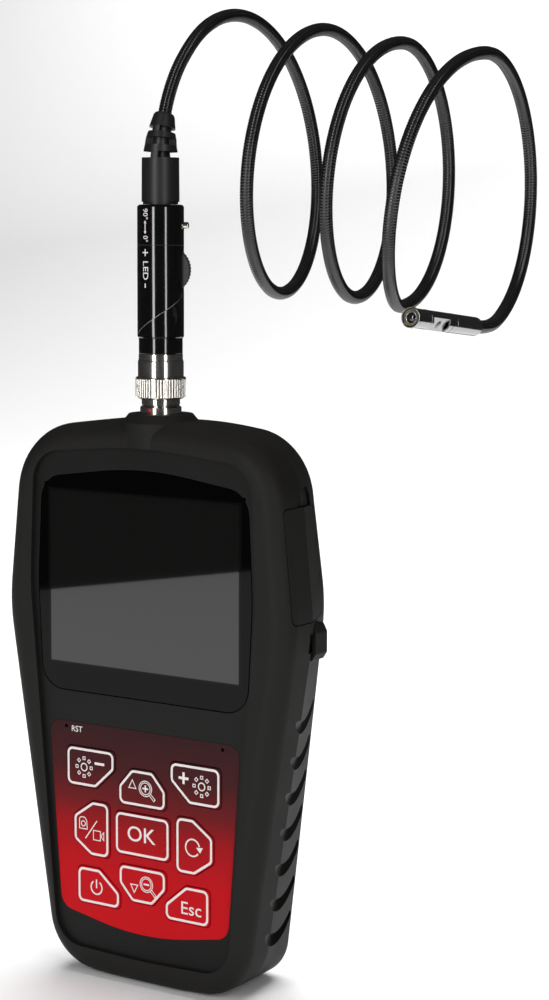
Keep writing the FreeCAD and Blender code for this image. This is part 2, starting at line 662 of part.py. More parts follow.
# ------------------------------------------------------------------ boards and ports
def main_board():
    board = prism_y(inset(section(MAIN_BOARD_Y), MAIN_BOARD_INSET), MAIN_BOARD_Y, MAIN_BOARD_Y + MAIN_BOARD_THICKNESS)
    board = board.common(box(-80, 80, -20, 20, *MAIN_BOARD_Z))
    holes = []
    for x, z in CASE_SCREWS:
        holes += pair(rod_y(x, z, POST_RADIUS + 0.3, -20, 20))
    for x, z in BOARD_SCREWS:
        holes += pair(rod_y(x, z, SCREW_RADIUS + FIT, -20, 20))
    return single(cut_all(board, holes))


def board_chips():
    """The processor, memory and regulator packages on the back of the main board."""
    back = MAIN_BOARD_Y + MAIN_BOARD_THICKNESS
    places = [(-8, 8, 108, 124, 1.4), (14, 25, 110, 121, 1.2), (-30, -20, 98, 108, 1.6), (-26, -14, 128, 136, 1.2)]
    return Part.makeCompound([box(x0, x1, back, back + h, z0, z1) for x0, x1, z0, z1, h in places])


def board_screws():
    back = MAIN_BOARD_Y + MAIN_BOARD_THICKNESS
    screws = []
    for x, z in BOARD_SCREWS:
        screw = rod_y(x, z, SCREW_RADIUS, -11, back + 0.1)
        screw = screw.fuse(rod_y(x, z, 1.8, back, back + 1.1)).removeSplitter()
        screws += pair(screw)
    return Part.makeCompound([single(s) for s in screws])


SOCKET_Y = MAIN_BOARD_Y + MAIN_BOARD_THICKNESS


def usb_socket():
    shell = box(37.3, SOCKET_END_X, SOCKET_Y, SOCKET_Y + 4.0, 131.6, 139.3)
    mouth = box(39.0, SOCKET_END_X + 1, SOCKET_Y + 0.4, SOCKET_Y + 3.6, 132.0, 138.9)
    tongue = box(38.9, SOCKET_END_X - 1.0, SOCKET_Y + 1.6, SOCKET_Y + 2.4, 133.0, 137.9)
    return single(shell.cut(mouth).fuse(tongue).removeSplitter())


def av_socket():
    z = 143.7
    shell = box(36.5, SOCKET_END_X - 2.7, SOCKET_Y, SOCKET_Y + 4.8, z - 2.6, z + 2.6)
    nose = Part.makeCylinder(2.3, 2, V(SOCKET_END_X - 3.2, SOCKET_Y + 2.4, z), V(1, 0, 0))
    bore = Part.makeCylinder(1.3, 9, V(SOCKET_END_X - 9, SOCKET_Y + 2.4, z), V(1, 0, 0))
    return single(shell.fuse(nose).cut(bore))


CARD_Y = SOCKET_Y + 0.6


def card_socket():
    shell = box(30.0, SOCKET_END_X - 2.5, SOCKET_Y, SOCKET_Y + 2.2, CARD_Z - 0.8, CARD_Z + CARD_SIZE[2] + 0.8)
    slot = box(30.8, SOCKET_END_X + 2, CARD_Y - TOUCH_GAP, CARD_Y + CARD_SIZE[1] + TOUCH_GAP,
               CARD_Z - TOUCH_GAP, CARD_Z + CARD_SIZE[2] + TOUCH_GAP)
    return single(shell.cut(slot))


def memory_card():
    x1 = SOCKET_END_X + 0.2
    card = box(x1 - CARD_SIZE[0] + 1.0, x1, CARD_Y, CARD_Y + CARD_SIZE[1], CARD_Z, CARD_Z + CARD_SIZE[2])
    return card


# ------------------------------------------------------------------ probe socket
def receptacle():
    body = rod_z(RECEPTACLE_RADIUS, RECEPTACLE_BOTTOM, BOSS_TOP)
    flange = turned([(BOSS_TOP, FLANGE_RADIUS), (FLANGE_TOP - 0.4, FLANGE_RADIUS), (FLANGE_TOP, FLANGE_RADIUS - 0.5)])
    bore = rod_z(RECEPTACLE_BORE, RECEPTACLE_BOTTOM + 4, FLANGE_TOP + 1)
    seat = rod_z(RECEPTACLE_BORE - 0.6, RECEPTACLE_BOTTOM - 1, RECEPTACLE_BOTTOM + 5)
    return single(body.fuse(flange).removeSplitter().cut(bore).cut(seat))


def pin_places():
    for k in range(PIN_COUNT):
        turn = 2 * math.pi * k / PIN_COUNT
        yield V(PIN_CIRCLE * math.cos(turn), AXIS_Y + PIN_CIRCLE * math.sin(turn), 0)


def receptacle_insert():
    disc = rod_z(RECEPTACLE_BORE - 0.6, RECEPTACLE_BOTTOM, RECEPTACLE_BOTTOM + 4)
    return single(cut_all(disc, [rod_z(PIN_RADIUS, 150, 190, p) for p in pin_places()]))


def receptacle_pins():
    return Part.makeCompound([rod_z(PIN_RADIUS, RECEPTACLE_BOTTOM - 1, RECEPTACLE_BOTTOM + 12, p) for p in pin_places()])


def receptacle_nut():
    top = 164.6
    half = NUT_ACROSS / 2
    corner = half / math.cos(math.pi / 6)
    points = [(corner * math.cos(math.radians(60 * k)), AXIS_Y - corner * math.sin(math.radians(60 * k)), 0)
              for k in range(6)]
    hexagon = Part.Face(outline(points, on_z(top - NUT_HEIGHT))).extrude(V(0, 0, NUT_HEIGHT))
    room = CASE_HOLLOW.common(box(-20, 20, PLATE_BACK_Y + 0.2, 20, 150, 180))
    return single(hexagon.cut(rod_z(RECEPTACLE_RADIUS, 150, 190)).common(room))


def alignment_dot():
    ball = Part.makeSphere(0.75, V(0, AXIS_Y - FLANGE_RADIUS + 0.35, BOSS_TOP + 1.1))
    ball.rotate(AXIS, V(0, 0, 1), 4)
    return single(ball.cut(rod_z(FLANGE_RADIUS, BOSS_TOP - 1, FLANGE_TOP + 1)))


# ------------------------------------------------------------------ probe
def plug_shell():
    bottom = BOSS_TOP + 2.3 - SPIGOT_LENGTH
    spigot_radius = RECEPTACLE_BORE - RUNNING
    shell = turned([(bottom, spigot_radius - 0.4), (bottom + 0.6, spigot_radius), (FLANGE_TOP + FIT, spigot_radius),
                    (FLANGE_TOP + FIT, NOSE_RADIUS - 0.3), (FLANGE_TOP + 0.5, NOSE_RADIUS),
                    (RING_BOTTOM - FIT, NOSE_RADIUS), (RING_BOTTOM - FIT, CORE_RADIUS), (RING_TOP + FIT, CORE_RADIUS)])
    return single(shell.cut(rod_z(spigot_radius - 0.7, bottom - 1, RING_TOP + 1)))


def plug_insert():
    bottom = BOSS_TOP + 2.3 - SPIGOT_LENGTH
    disc = rod_z(RECEPTACLE_BORE - RUNNING - 0.7, bottom + 0.4, RING_TOP)
    return single(cut_all(disc, [rod_z(PIN_RADIUS + 0.35, bottom - 1, bottom + 8, p) for p in pin_places()]))


def coupling_ring():
    ring = turned([(RING_BOTTOM, RING_RADIUS - 1.1), (RING_BOTTOM + 0.7, RING_RADIUS), (RING_TOP - 0.3, RING_RADIUS),
                   (RING_TOP, RING_RADIUS - 0.3)])
    flutes = []
    for k in range(RING_FLUTES):
        flute = rod_z(FLUTE_DEPTH * 1.1, RING_BOTTOM - 1, RING_TOP - 0.5, AXIS + V(RING_RADIUS + 0.03, 0, 0))
        flute.rotate(AXIS, V(0, 0, 1), 360.0 * k / RING_FLUTES)
        flutes.append(flute)
    ring = cut_all(ring, flutes)
    return single(ring.cut(rod_z(CORE_RADIUS + RUNNING, RING_BOTTOM - 1, RING_TOP + 1)))


def plug_sleeve():
    sleeve = turned([(RING_TOP + FIT, SLEEVE_RADIUS), (SLEEVE_TOP - 2.2, SLEEVE_RADIUS),
                     (SLEEVE_TOP - 1.6, SLEEVE_RADIUS - 0.25), (SLEEVE_TOP, SLEEVE_RADIUS - 0.25)])
    return single(sleeve.cut(rod_z(3.0, RING_TOP - 1, SLEEVE_TOP + 1)))


def neck_ring():
    neck = turned([(SLEEVE_TOP, NECK_RADIUS - 0.15), (SLEEVE_TOP + 0.3, NECK_RADIUS), (NECK_TOP, NECK_RADIUS)])
    return single(neck.cut(rod_z(3.0, SLEEVE_TOP - 1, NECK_TOP + 1)))


def slope_cutter():
    """Everything below the seam, which winds half way round the handle as it climbs and back again behind."""
    climb = []
    for k in range(13):
        height = HANDLE_SPLIT_LOW + (HANDLE_SPLIT_HIGH - HANDLE_SPLIT_LOW) * k / 12.0
        climb.append(V(HANDLE_SPLIT_REACH * math.sin(math.radians(15 * k - 90)), AXIS_Y, height))
    curve = Part.BSplineCurve()
    curve.interpolate(climb)
    corners = [climb[-1], V(30, AXIS_Y, HANDLE_SPLIT_HIGH), V(30, AXIS_Y, 100), V(-30, AXIS_Y, 100),
               V(-30, AXIS_Y, HANDLE_SPLIT_LOW), climb[0]]
    border = Part.Wire([curve.toShape()] + Part.makePolygon(corners).Edges)
    wedge = Part.Face(border).extrude(V(0, 60, 0))
    wedge.translate(V(0, -30, 0))
    wedge.rotate(AXIS, V(0, 0, 1), HANDLE_SPLIT_TURN)
    return wedge


def to_controls(shape):
    """Turns a shape made on the +X side of the handle to the side the controls are on."""
    shape.rotate(AXIS, V(0, 0, 1), CONTROL_TURN)
    return shape


def handle_tube():
    tube = turned([(NECK_TOP, HANDLE_RADIUS - 0.35), (NECK_TOP + 0.35, HANDLE_RADIUS), (HANDLE_SEAM, HANDLE_RADIUS)])
    return tube.cut(rod_z(HANDLE_RADIUS - HANDLE_WALL, NECK_TOP - 1, HANDLE_SEAM + 1))


def handle_base():
    floor = rod_z(HANDLE_RADIUS - HANDLE_WALL, NECK_TOP, NECK_TOP + 1.2).cut(rod_z(3.0, NECK_TOP - 1, NECK_TOP + 2))
    return single(handle_tube().fuse(floor).removeSplitter().common(slope_cutter()))


def wheel_slot():
    half_y = WHEEL_WIDTH / 2 + 0.3
    reach = math.sqrt(WHEEL_RADIUS ** 2 - (HANDLE_RADIUS - HANDLE_WALL - WHEEL_OFFSET) ** 2) + 0.25
    return to_controls(box(2, 12, AXIS_Y - half_y, AXIS_Y + half_y, WHEEL_Z - reach, WHEEL_Z + reach))


def handle_body():
    return single(handle_tube().cut(slope_cutter()).cut(wheel_slot()))


def handle_cap():
    cap = turned([(HANDLE_SEAM, HANDLE_RADIUS), (HANDLE_TOP - 0.7, HANDLE_RADIUS), (HANDLE_TOP - 0.2, HANDLE_RADIUS - 0.3),
                  (HANDLE_TOP, HANDLE_RADIUS - 0.8)])
    cap = cap.cut(rod_z(HANDLE_RADIUS - HANDLE_WALL, HANDLE_SEAM - 1, HANDLE_TOP - 1.2))
    cap = cap.cut(rod_z(RELIEF_CORE + FIT, HANDLE_TOP - 3, HANDLE_TOP + 1))
    button_hole = Part.makeCylinder(BUTTON_RADIUS + TOUCH_GAP, 10, V(3, AXIS_Y, BUTTON_Z), V(1, 0, 0))
    return single(cap.cut(to_controls(button_hole)))


def handle_board():
    return to_controls(box(-3.9, 3.9, AXIS_Y + 2.7, AXIS_Y + 3.7, NECK_TOP + 1.25, HANDLE_TOP - 2.4))


def dimmer_wheel():
    half = WHEEL_WIDTH / 2
    wheel = Part.makeCylinder(WHEEL_RADIUS, WHEEL_WIDTH, V(WHEEL_OFFSET, AXIS_Y - half, WHEEL_Z), V(0, 1, 0))
    wheel = wheel.makeChamfer(0.3, wheel.Edges[0:1] + wheel.Edges[2:3])
    notches = []
    for k in range(WHEEL_NOTCHES):
        notch = rod_y(WHEEL_OFFSET + WHEEL_RADIUS + 0.05, WHEEL_Z, 0.26, AXIS_Y - half - 1, AXIS_Y + half + 1)
        notch.rotate(V(WHEEL_OFFSET, AXIS_Y, WHEEL_Z), V(0, 1, 0), 360.0 * k / WHEEL_NOTCHES)
        notches.append(notch)
    wheel = cut_all(wheel, notches)
    bore = rod_y(WHEEL_OFFSET, WHEEL_Z, WHEEL_AXLE_RADIUS + RUNNING, AXIS_Y - 5, AXIS_Y + 5)
    return to_controls(single(wheel.cut(bore)))


def dimmer_potentiometer():
    seat = rod_y(WHEEL_OFFSET, WHEEL_Z, 2.4, AXIS_Y + WHEEL_WIDTH / 2 + 0.3, AXIS_Y + 2.7)
    axle = rod_y(WHEEL_OFFSET, WHEEL_Z, WHEEL_AXLE_RADIUS, AXIS_Y - WHEEL_WIDTH / 2 - 0.4, AXIS_Y + 2.5)
    return to_controls(single(seat.fuse(axle).removeSplitter()))


def view_button():
    stem = Part.makeCylinder(BUTTON_RADIUS, BUTTON_OUT - 3.6, V(3.6, AXIS_Y, BUTTON_Z), V(1, 0, 0))
    stem = stem.makeFillet(0.45, [e for e in stem.Edges if abs(e.BoundBox.XMin - BUTTON_OUT) < 1e-3])
    flange = Part.makeCylinder(BUTTON_RADIUS + 0.7, 0.7, V(4.6, AXIS_Y, BUTTON_Z), V(1, 0, 0))
    return to_controls(single(stem.fuse(flange).removeSplitter()))


def view_switch():
    end = 3.6 - BUTTON_TRAVEL - 0.2
    return to_controls(box(-1.2, end, AXIS_Y - 2.2, AXIS_Y + 2.7, BUTTON_Z - 2.2, BUTTON_Z + 2.2))


def relief_middle(height):
    """Where the relief's middle line is at a height, and which way it points."""
    span = RELIEF_PROFILE[-1][0] - RELIEF_BEND_FROM
    share = max(0, height - RELIEF_BEND_FROM) / span
    middle = V(0, AXIS_Y + RELIEF_LEAN * share ** 2, height)
    return middle, V(0, 2 * RELIEF_LEAN * share / span, 1).normalize()


def relief_loft(profile):
    """A round shape along the relief's bent middle line from (height, radius) points."""
    wires = []
    for height, radius in profile:
        middle, heading = relief_middle(height)
        wires.append(Part.Wire(Part.makeCircle(radius, middle, heading)))
    return Part.makeLoft(wires, True, True)


def strain_relief():
    base = HANDLE_TOP - 2.2
    relief = turned([(base, RELIEF_CORE), (HANDLE_TOP + 0.05, RELIEF_CORE), (HANDLE_TOP + 0.05, 5.2), (235.6, 5.2)]
                    + RELIEF_PROFILE[:2])
    relief = relief.fuse(relief_loft(RELIEF_PROFILE[1:])).removeSplitter()
    for low, high, turn in RELIEF_SLOTS:
        core = relief_loft([(low - 1, RELIEF_CORE - 0.3), (high + 1, RELIEF_CORE - 0.3)])
        ring = relief_loft([(low, 8), (high, 8)]).cut(core)
        rib = box(-9, 9, AXIS_Y - RELIEF_RIB / 2, AXIS_Y + RELIEF_RIB / 2, low - 1, high + 1)
        rib.rotate(AXIS, V(0, 0, 1), turn + 35)
        relief = relief.cut(ring.cut(rib))
    return single(relief)


# ------------------------------------------------------------------ gooseneck
def between(values, turns):
    """Value at a number of half turns, straight between the listed ones."""
    k = min(max(int(math.floor(turns)), 0), len(values) - 2)
    return values[k] + (values[k + 1] - values[k]) * (turns - k)


def coil_point(degrees):
    turns = degrees / 180.0
    radius = between(COIL_RADII, turns) / CHORD_SHARE
    off = math.radians(COIL_TURN_OFF)
    along = between(COIL_ALONG, turns)
    across = radius * math.sin(math.radians(degrees))
    height = between(COIL_HEIGHTS, turns) + radius * math.cos(math.radians(degrees))
    return V(along * math.cos(off) - across * math.sin(off),
             COIL_LINE_Y + along * math.sin(off) + across * math.cos(off), height)


def gooseneck_route():
    step = 360.0 / COIL_POINTS_PER_TURN
    count = int(round((COIL_END - COIL_START) / step))
    start, up = relief_middle(RELIEF_PROFILE[-1][0])
    route = [start, start + up * LEAD_IN_RUN]
    route += [coil_point(COIL_START + step * k) for k in range(count + 1)]
    heading = V(HEAD_DIRECTION).normalize()
    return route + [HEAD_REAR - heading * HEAD_RUN, HEAD_REAR]


def bend_radius(route, i):
    before = route[i] - route[i - 1]
    after = route[i + 1] - route[i]
    half_turn = before.getAngle(after) / 2
    shorter = min(before.Length, after.Length)
    return TUBE_BEND_SHARE * shorter / math.tan(half_turn), half_turn


def gooseneck():
    """A round tube along straight runs joined by tangent arcs."""
    route = gooseneck_route()
    edges = []
    radii = []
    leave = route[0]
    for i in range(1, len(route) - 1):
        radius, half_turn = bend_radius(route, i)
        radii.append(radius)
        back = (route[i - 1] - route[i]).normalize()
        ahead = (route[i + 1] - route[i]).normalize()
        reach = radius * math.tan(half_turn)
        start, end = route[i] + back * reach, route[i] + ahead * reach
        middle = route[i] + (back + ahead).normalize() * (radius / math.cos(half_turn) - radius)
        edges.append(Part.LineSegment(leave, start).toShape())
        edges.append(Part.Arc(start, middle, end).toShape())
        leave = end
    edges.append(Part.LineSegment(leave, route[-1]).toShape())
    path = Part.Wire(edges)
    first = (route[1] - route[0]).normalize()
    disc = Part.Wire(Part.makeCircle(CORD_RADIUS, route[0], first))
    tube = path.makePipeShell([disc], True, False)
    share = tube.Volume / (math.pi * CORD_RADIUS ** 2 * path.Length)
    print("gooseneck: length %.1f, radii %.1f to %.1f, volume share %.4f, points %d"
          % (path.Length, min(radii), max(radii), share, len(route)))
    return tube


# ------------------------------------------------------------------ camera head
def head_placement():
    """Local z runs forward along the head from its rear, and local x out of the side window."""
    forward = V(HEAD_DIRECTION).normalize()
    turn = math.radians(SIDE_VIEW_TURN)
    out = V(math.cos(turn), 0, math.sin(turn))
    out = (out - forward * out.dot(forward)).normalize()
    third = forward.cross(out)
    matrix = FreeCAD.Matrix(out.x, third.x, forward.x, HEAD_REAR.x,
                            out.y, third.y, forward.y, HEAD_REAR.y,
                            out.z, third.z, forward.z, HEAD_REAR.z,
                            0, 0, 0, 1)
    return FreeCAD.Placement(matrix)


def placed(shape):
    shape = shape.copy()
    shape.Placement = head_placement().multiply(shape.Placement)
    return shape


def local_rod(radius, z0, z1, x=0, y=0):
    return Part.makeCylinder(radius, z1 - z0, V(x, y, z0))


def side_rod(radius, x0, x1, z):
    return Part.makeCylinder(radius, x1 - x0, V(x0, 0, z), V(1, 0, 0))


WINDOW_LOW = HEAD_LENGTH - SIDE_WINDOW[1]
WINDOW_HIGH = HEAD_LENGTH - SIDE_WINDOW[0]
FLAT_X = math.sqrt(HEAD_RADIUS ** 2 - SIDE_FLAT ** 2)
SIDE_LENS_Z = (WINDOW_LOW + WINDOW_HIGH) / 2


def camera_body():
    front = HEAD_LENGTH - BEZEL_LENGTH
    body = local_rod(HEAD_RADIUS, 0, front)
    body = body.makeChamfer(0.3, [e for e in body.Edges if e.BoundBox.ZMax < 0.01])
    hollow = local_rod(HEAD_RADIUS - HEAD_WALL, 0.8, front + 1)
    step = SIDE_FLAT
    window = box(FLAT_X, 5, -step, step, WINDOW_LOW, WINDOW_HIGH)
    tools = [window]
    tools.append(local_rod(HEAD_RADIUS + 1, 18.9, 19.2).cut(local_rod(HEAD_RADIUS - 0.15, 18, 20)))
    block_in = box(FLAT_X - 0.9, FLAT_X, -1.9, 1.9, WINDOW_LOW, WINDOW_HIGH)
    body = body.cut(hollow).fuse(block_in.common(local_rod(HEAD_RADIUS - 0.1, 0, front))).removeSplitter()
    tools.append(side_rod(1.35, 0, 5, SIDE_LENS_Z))
    for z in (WINDOW_LOW + 1.7, WINDOW_HIGH - 1.7):
        tools.append(side_rod(0.75, 0, 5, z))
    for tool in tools:
        body = body.cut(tool)
    return placed(single(body))


def front_bezel():
    low = HEAD_LENGTH - BEZEL_LENGTH
    bezel = local_rod(HEAD_RADIUS, low, HEAD_LENGTH - 1.6)
    bezel = bezel.fuse(local_rod(HEAD_RADIUS - 0.2, HEAD_LENGTH - 1.6, HEAD_LENGTH - 1.1))
    bezel = bezel.fuse(local_rod(BEZEL_RADIUS, HEAD_LENGTH - 1.1, HEAD_LENGTH)).removeSplitter()
    rim = [e for e in bezel.Edges if e.BoundBox.ZMin > HEAD_LENGTH - 0.01]
    bezel = bezel.makeFillet(0.25, rim)
    bore = local_rod(BEZEL_RADIUS - 0.55, low - 1, HEAD_LENGTH + 1)
    return placed(single(bezel.cut(bore)))


def light_ring():
    ring = local_rod(BEZEL_RADIUS - 0.6, HEAD_LENGTH - 2.0, HEAD_LENGTH - 0.6)
    return placed(single(ring.cut(local_rod(1.5, 0, HEAD_LENGTH + 1))))


def front_lens():
    barrel = local_rod(1.45, HEAD_LENGTH - 2.8, HEAD_LENGTH - 0.9)
    ball = Part.makeSphere(2.0, V(0, 0, HEAD_LENGTH - 2.55))
    cap = ball.common(local_rod(1.2, HEAD_LENGTH - 0.95, HEAD_LENGTH))
    return placed(single(barrel.fuse(cap).removeSplitter()))


def side_lens():
    barrel = side_rod(1.3, FLAT_X - 1.2, FLAT_X + 0.02, SIDE_LENS_Z)
    ball = Part.makeSphere(1.9, V(FLAT_X + 0.3 - 1.9, 0, SIDE_LENS_Z))
    cap = ball.common(side_rod(0.95, FLAT_X, FLAT_X + 0.6, SIDE_LENS_Z))
    return placed(single(barrel.fuse(cap).removeSplitter()))


def side_lights():
    lights = [placed(side_rod(0.7, FLAT_X - 0.8, FLAT_X, z)) for z in (WINDOW_LOW + 1.7, WINDOW_HIGH - 1.7)]
    return Part.makeCompound(lights)


# ------------------------------------------------------------------ write every piece
PIECES = [rubber_boot, port_cover, front_housing, rear_housing, case_screws, battery_door, door_screw, battery_pack,
          display_lens, display_gasket, lcd_panel, lcd_frame, keypad_overlay, key_domes, keypad_board,
          reset_switch, reset_button, microphone, main_board, board_chips, board_screws, usb_socket, av_socket,
          card_socket, memory_card, receptacle, receptacle_insert, receptacle_pins, receptacle_nut, alignment_dot,
          plug_shell, plug_insert, coupling_ring, plug_sleeve, neck_ring, handle_base, handle_body, handle_cap,
          handle_board, dimmer_wheel, dimmer_potentiometer, view_button, view_switch, strain_relief, gooseneck,
          camera_body, front_bezel, light_ring, front_lens, side_lens, side_lights]

for make in PIECES:
    save(make.__name__, make())
for key_name, key_points in all_keys().items():
    save(key_name, key(key_points))
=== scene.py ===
import json
import math

import bmesh
import bpy
import numpy as np
from mathutils import Matrix


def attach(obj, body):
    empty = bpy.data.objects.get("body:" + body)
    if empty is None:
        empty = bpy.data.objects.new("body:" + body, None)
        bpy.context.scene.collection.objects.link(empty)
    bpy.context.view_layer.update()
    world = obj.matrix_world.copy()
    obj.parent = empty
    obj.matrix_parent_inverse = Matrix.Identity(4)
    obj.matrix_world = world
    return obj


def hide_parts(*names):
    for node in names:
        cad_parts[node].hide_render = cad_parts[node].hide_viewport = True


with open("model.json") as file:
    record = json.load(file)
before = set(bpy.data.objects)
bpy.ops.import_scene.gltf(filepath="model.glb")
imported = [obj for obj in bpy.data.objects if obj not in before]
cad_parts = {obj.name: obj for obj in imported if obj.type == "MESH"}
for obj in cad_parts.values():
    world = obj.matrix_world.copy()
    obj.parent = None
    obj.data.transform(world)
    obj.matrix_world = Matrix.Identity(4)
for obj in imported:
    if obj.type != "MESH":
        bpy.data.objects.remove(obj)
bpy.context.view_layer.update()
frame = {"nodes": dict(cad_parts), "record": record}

MM = 0.001
AXIS_Y = -6.7               # the probe's axis, in millimetres, with x = 0
HANDLE_RADIUS = 6.9
FACE_Y = -16.0              # the handset's face, and how far the keys stand out of it
KEY_FRONT_Y = -16.45
FILM_LOW_HIGH_Z = (14.0, 80.0)
SCREEN_Z = 122.8            # the screen's middle, and half the sizes of its window and its lit area
WINDOW_HALF = (35.9, 26.9)
LIT_HALF = (35.0, 26.2)
PRINT_HEIGHT = 0.035        # how thick a printed line stands, and how deep it is sunk
PRINT_SUNK = 0.05
WIRE_PITCH = 0.86           # from one turn of the gooseneck's wire to the next
WEAVE_ROUND = 6             # strands of its sheath's weave round it, and along it from one to the next
WEAVE_PITCH = 1.7


# ------------------------------------------------------------------ camera
def look_from(place_mm, turn, dip, lean, lens):
    """A camera at place_mm, `turn` degrees round from straight on, `dip` degrees down, rolled by `lean`."""
    a, e, r = (math.radians(v) for v in (turn, dip, lean))
    back = np.array([math.sin(a) * math.cos(e), -math.cos(a) * math.cos(e), math.sin(e)])
    right = np.array([math.cos(a), math.sin(a), 0.0])
    up = np.cross(back, right)
    axes = np.eye(4)
    axes[:3, 0] = right * math.cos(r) + up * math.sin(r)
    axes[:3, 1] = up * math.cos(r) - right * math.sin(r)
    axes[:3, 2] = back
    axes[:3, 3] = np.array(place_mm) * MM
    data = bpy.data.cameras.new("camera")
    data.lens = lens
    data.sensor_width = 36
    data.clip_start = 0.01
    camera = bpy.data.objects.new("camera", data)
    bpy.context.scene.collection.objects.link(camera)
    camera.matrix_world = Matrix(axes.tolist())
    bpy.context.scene.camera = camera


look_from(place_mm=(428.37, -576.08, 232.1), turn=34.23, dip=6.79, lean=0.23, lens=86.4)


# ------------------------------------------------------------------ mesh from grids of points
def unit(v):
    return v / np.linalg.norm(v, axis=-1, keepdims=True)


def patch(grid, around=True, ring=False, uv=None):
    """Quads between the neighbours of a grid of points, grid[i, j]. around joins each row's end to its start,
    and ring joins the last row to the first. With around and without ring, fans to their middles close the
    end rows."""
    grid = np.asarray(grid, float)
    n, m = grid.shape[:2]
    rows = np.arange(n if ring else n - 1)
    cols = np.arange(m if around else m - 1)
    i, j = np.meshgrid(rows, cols, indexing="ij")
    i1, j1 = (i + 1) % n, (j + 1) % m
    quads = np.stack([i * m + j, i * m + j1, i1 * m + j1, i1 * m + j], axis=-1).reshape(-1, 4)
    points = grid.reshape(-1, 3)
    tris = np.zeros((0, 3), int)
    if around and not ring:
        points = np.vstack([points, grid[0].mean(0), grid[-1].mean(0)])
        c = np.arange(m)
        first = np.stack([np.full(m, n * m), (c + 1) % m, c], axis=-1)
        last = np.stack([np.full(m, n * m + 1), (n - 1) * m + c, (n - 1) * m + (c + 1) % m], axis=-1)
        tris = np.vstack([first, last])
    corner_uv = None
    if uv is not None:
        u, v = uv
        corners = [(i, j), (i, j + 1), (i + 1, j + 1), (i + 1, j)]
        corner_uv = np.stack([np.stack([u[b], v[a]], axis=-1) for a, b in corners], axis=2).reshape(-1, 2)
        corner_uv = np.vstack([corner_uv, np.zeros((len(tris) * 3, 2))])
    return points, quads, tris, corner_uv


def mesh_piece(name, patches, finish, body, smooth=True):
    """One object from several patches, in millimetres, with faces turned outwards."""
    points, faces, uvs, base = [], [], [], 0
    for p, quads, tris, uv in patches:
        points.append(p)
        faces += (quads + base).tolist() + (tris + base).tolist()
        base += len(p)
        uvs.append(uv)
    mesh = bpy.data.meshes.new(name)
    mesh.from_pydata((np.vstack(points) * MM).tolist(), [], faces)
    if uvs[0] is not None:
        mesh.uv_layers.new(name="lay").data.foreach_set("uv", np.vstack(uvs).ravel())
    turn_outwards(mesh)
    return own(name, mesh, finish, body, smooth)


def turn_outwards(mesh):
    work = bmesh.new()
    work.from_mesh(mesh)
    bmesh.ops.recalc_face_normals(work, faces=work.faces)
    work.to_mesh(mesh)
    work.free()


def own(name, mesh, finish, body, smooth):
    """The mesh as an object at the origin that rides its body and has its finish."""
    mesh.materials.append(finish)
    mesh.polygons.foreach_set("use_smooth", np.full(len(mesh.polygons), smooth))
    obj = bpy.data.objects.new(name, mesh)
    bpy.context.scene.collection.objects.link(obj)
    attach(obj, body)
    return obj


# ------------------------------------------------------------------ materials
class Wire:
    """A number on its way through a material. Sums on it add the Math nodes that work them out."""

    def __init__(self, finish, socket):
        self.finish = finish
        self.socket = socket

    def calc(self, operation, *others):
        return self.finish.node("ShaderNodeMath", {"operation": operation}, [self, *others])

    def __add__(self, other):
        return self.calc("ADD", other)

    __radd__ = __add__

    def __mul__(self, other):
        return self.calc("MULTIPLY", other)

    __rmul__ = __mul__

    def __sub__(self, other):
        return self.calc("SUBTRACT", other)

    def __rsub__(self, other):
        return self.finish.node("ShaderNodeMath", {"operation": "SUBTRACT"}, [other, self])

    def __abs__(self):
        return self.calc("ABSOLUTE")

    def least(self, other):
        return self.calc("MINIMUM", other)

    def sine(self):
        return self.calc("SINE")

    def ramp(self, low, high):
        """0 below low, 1 above high, straight between."""
        return self.finish.node("ShaderNodeMapRange", {}, [self, low, high, 0.0, 1.0])


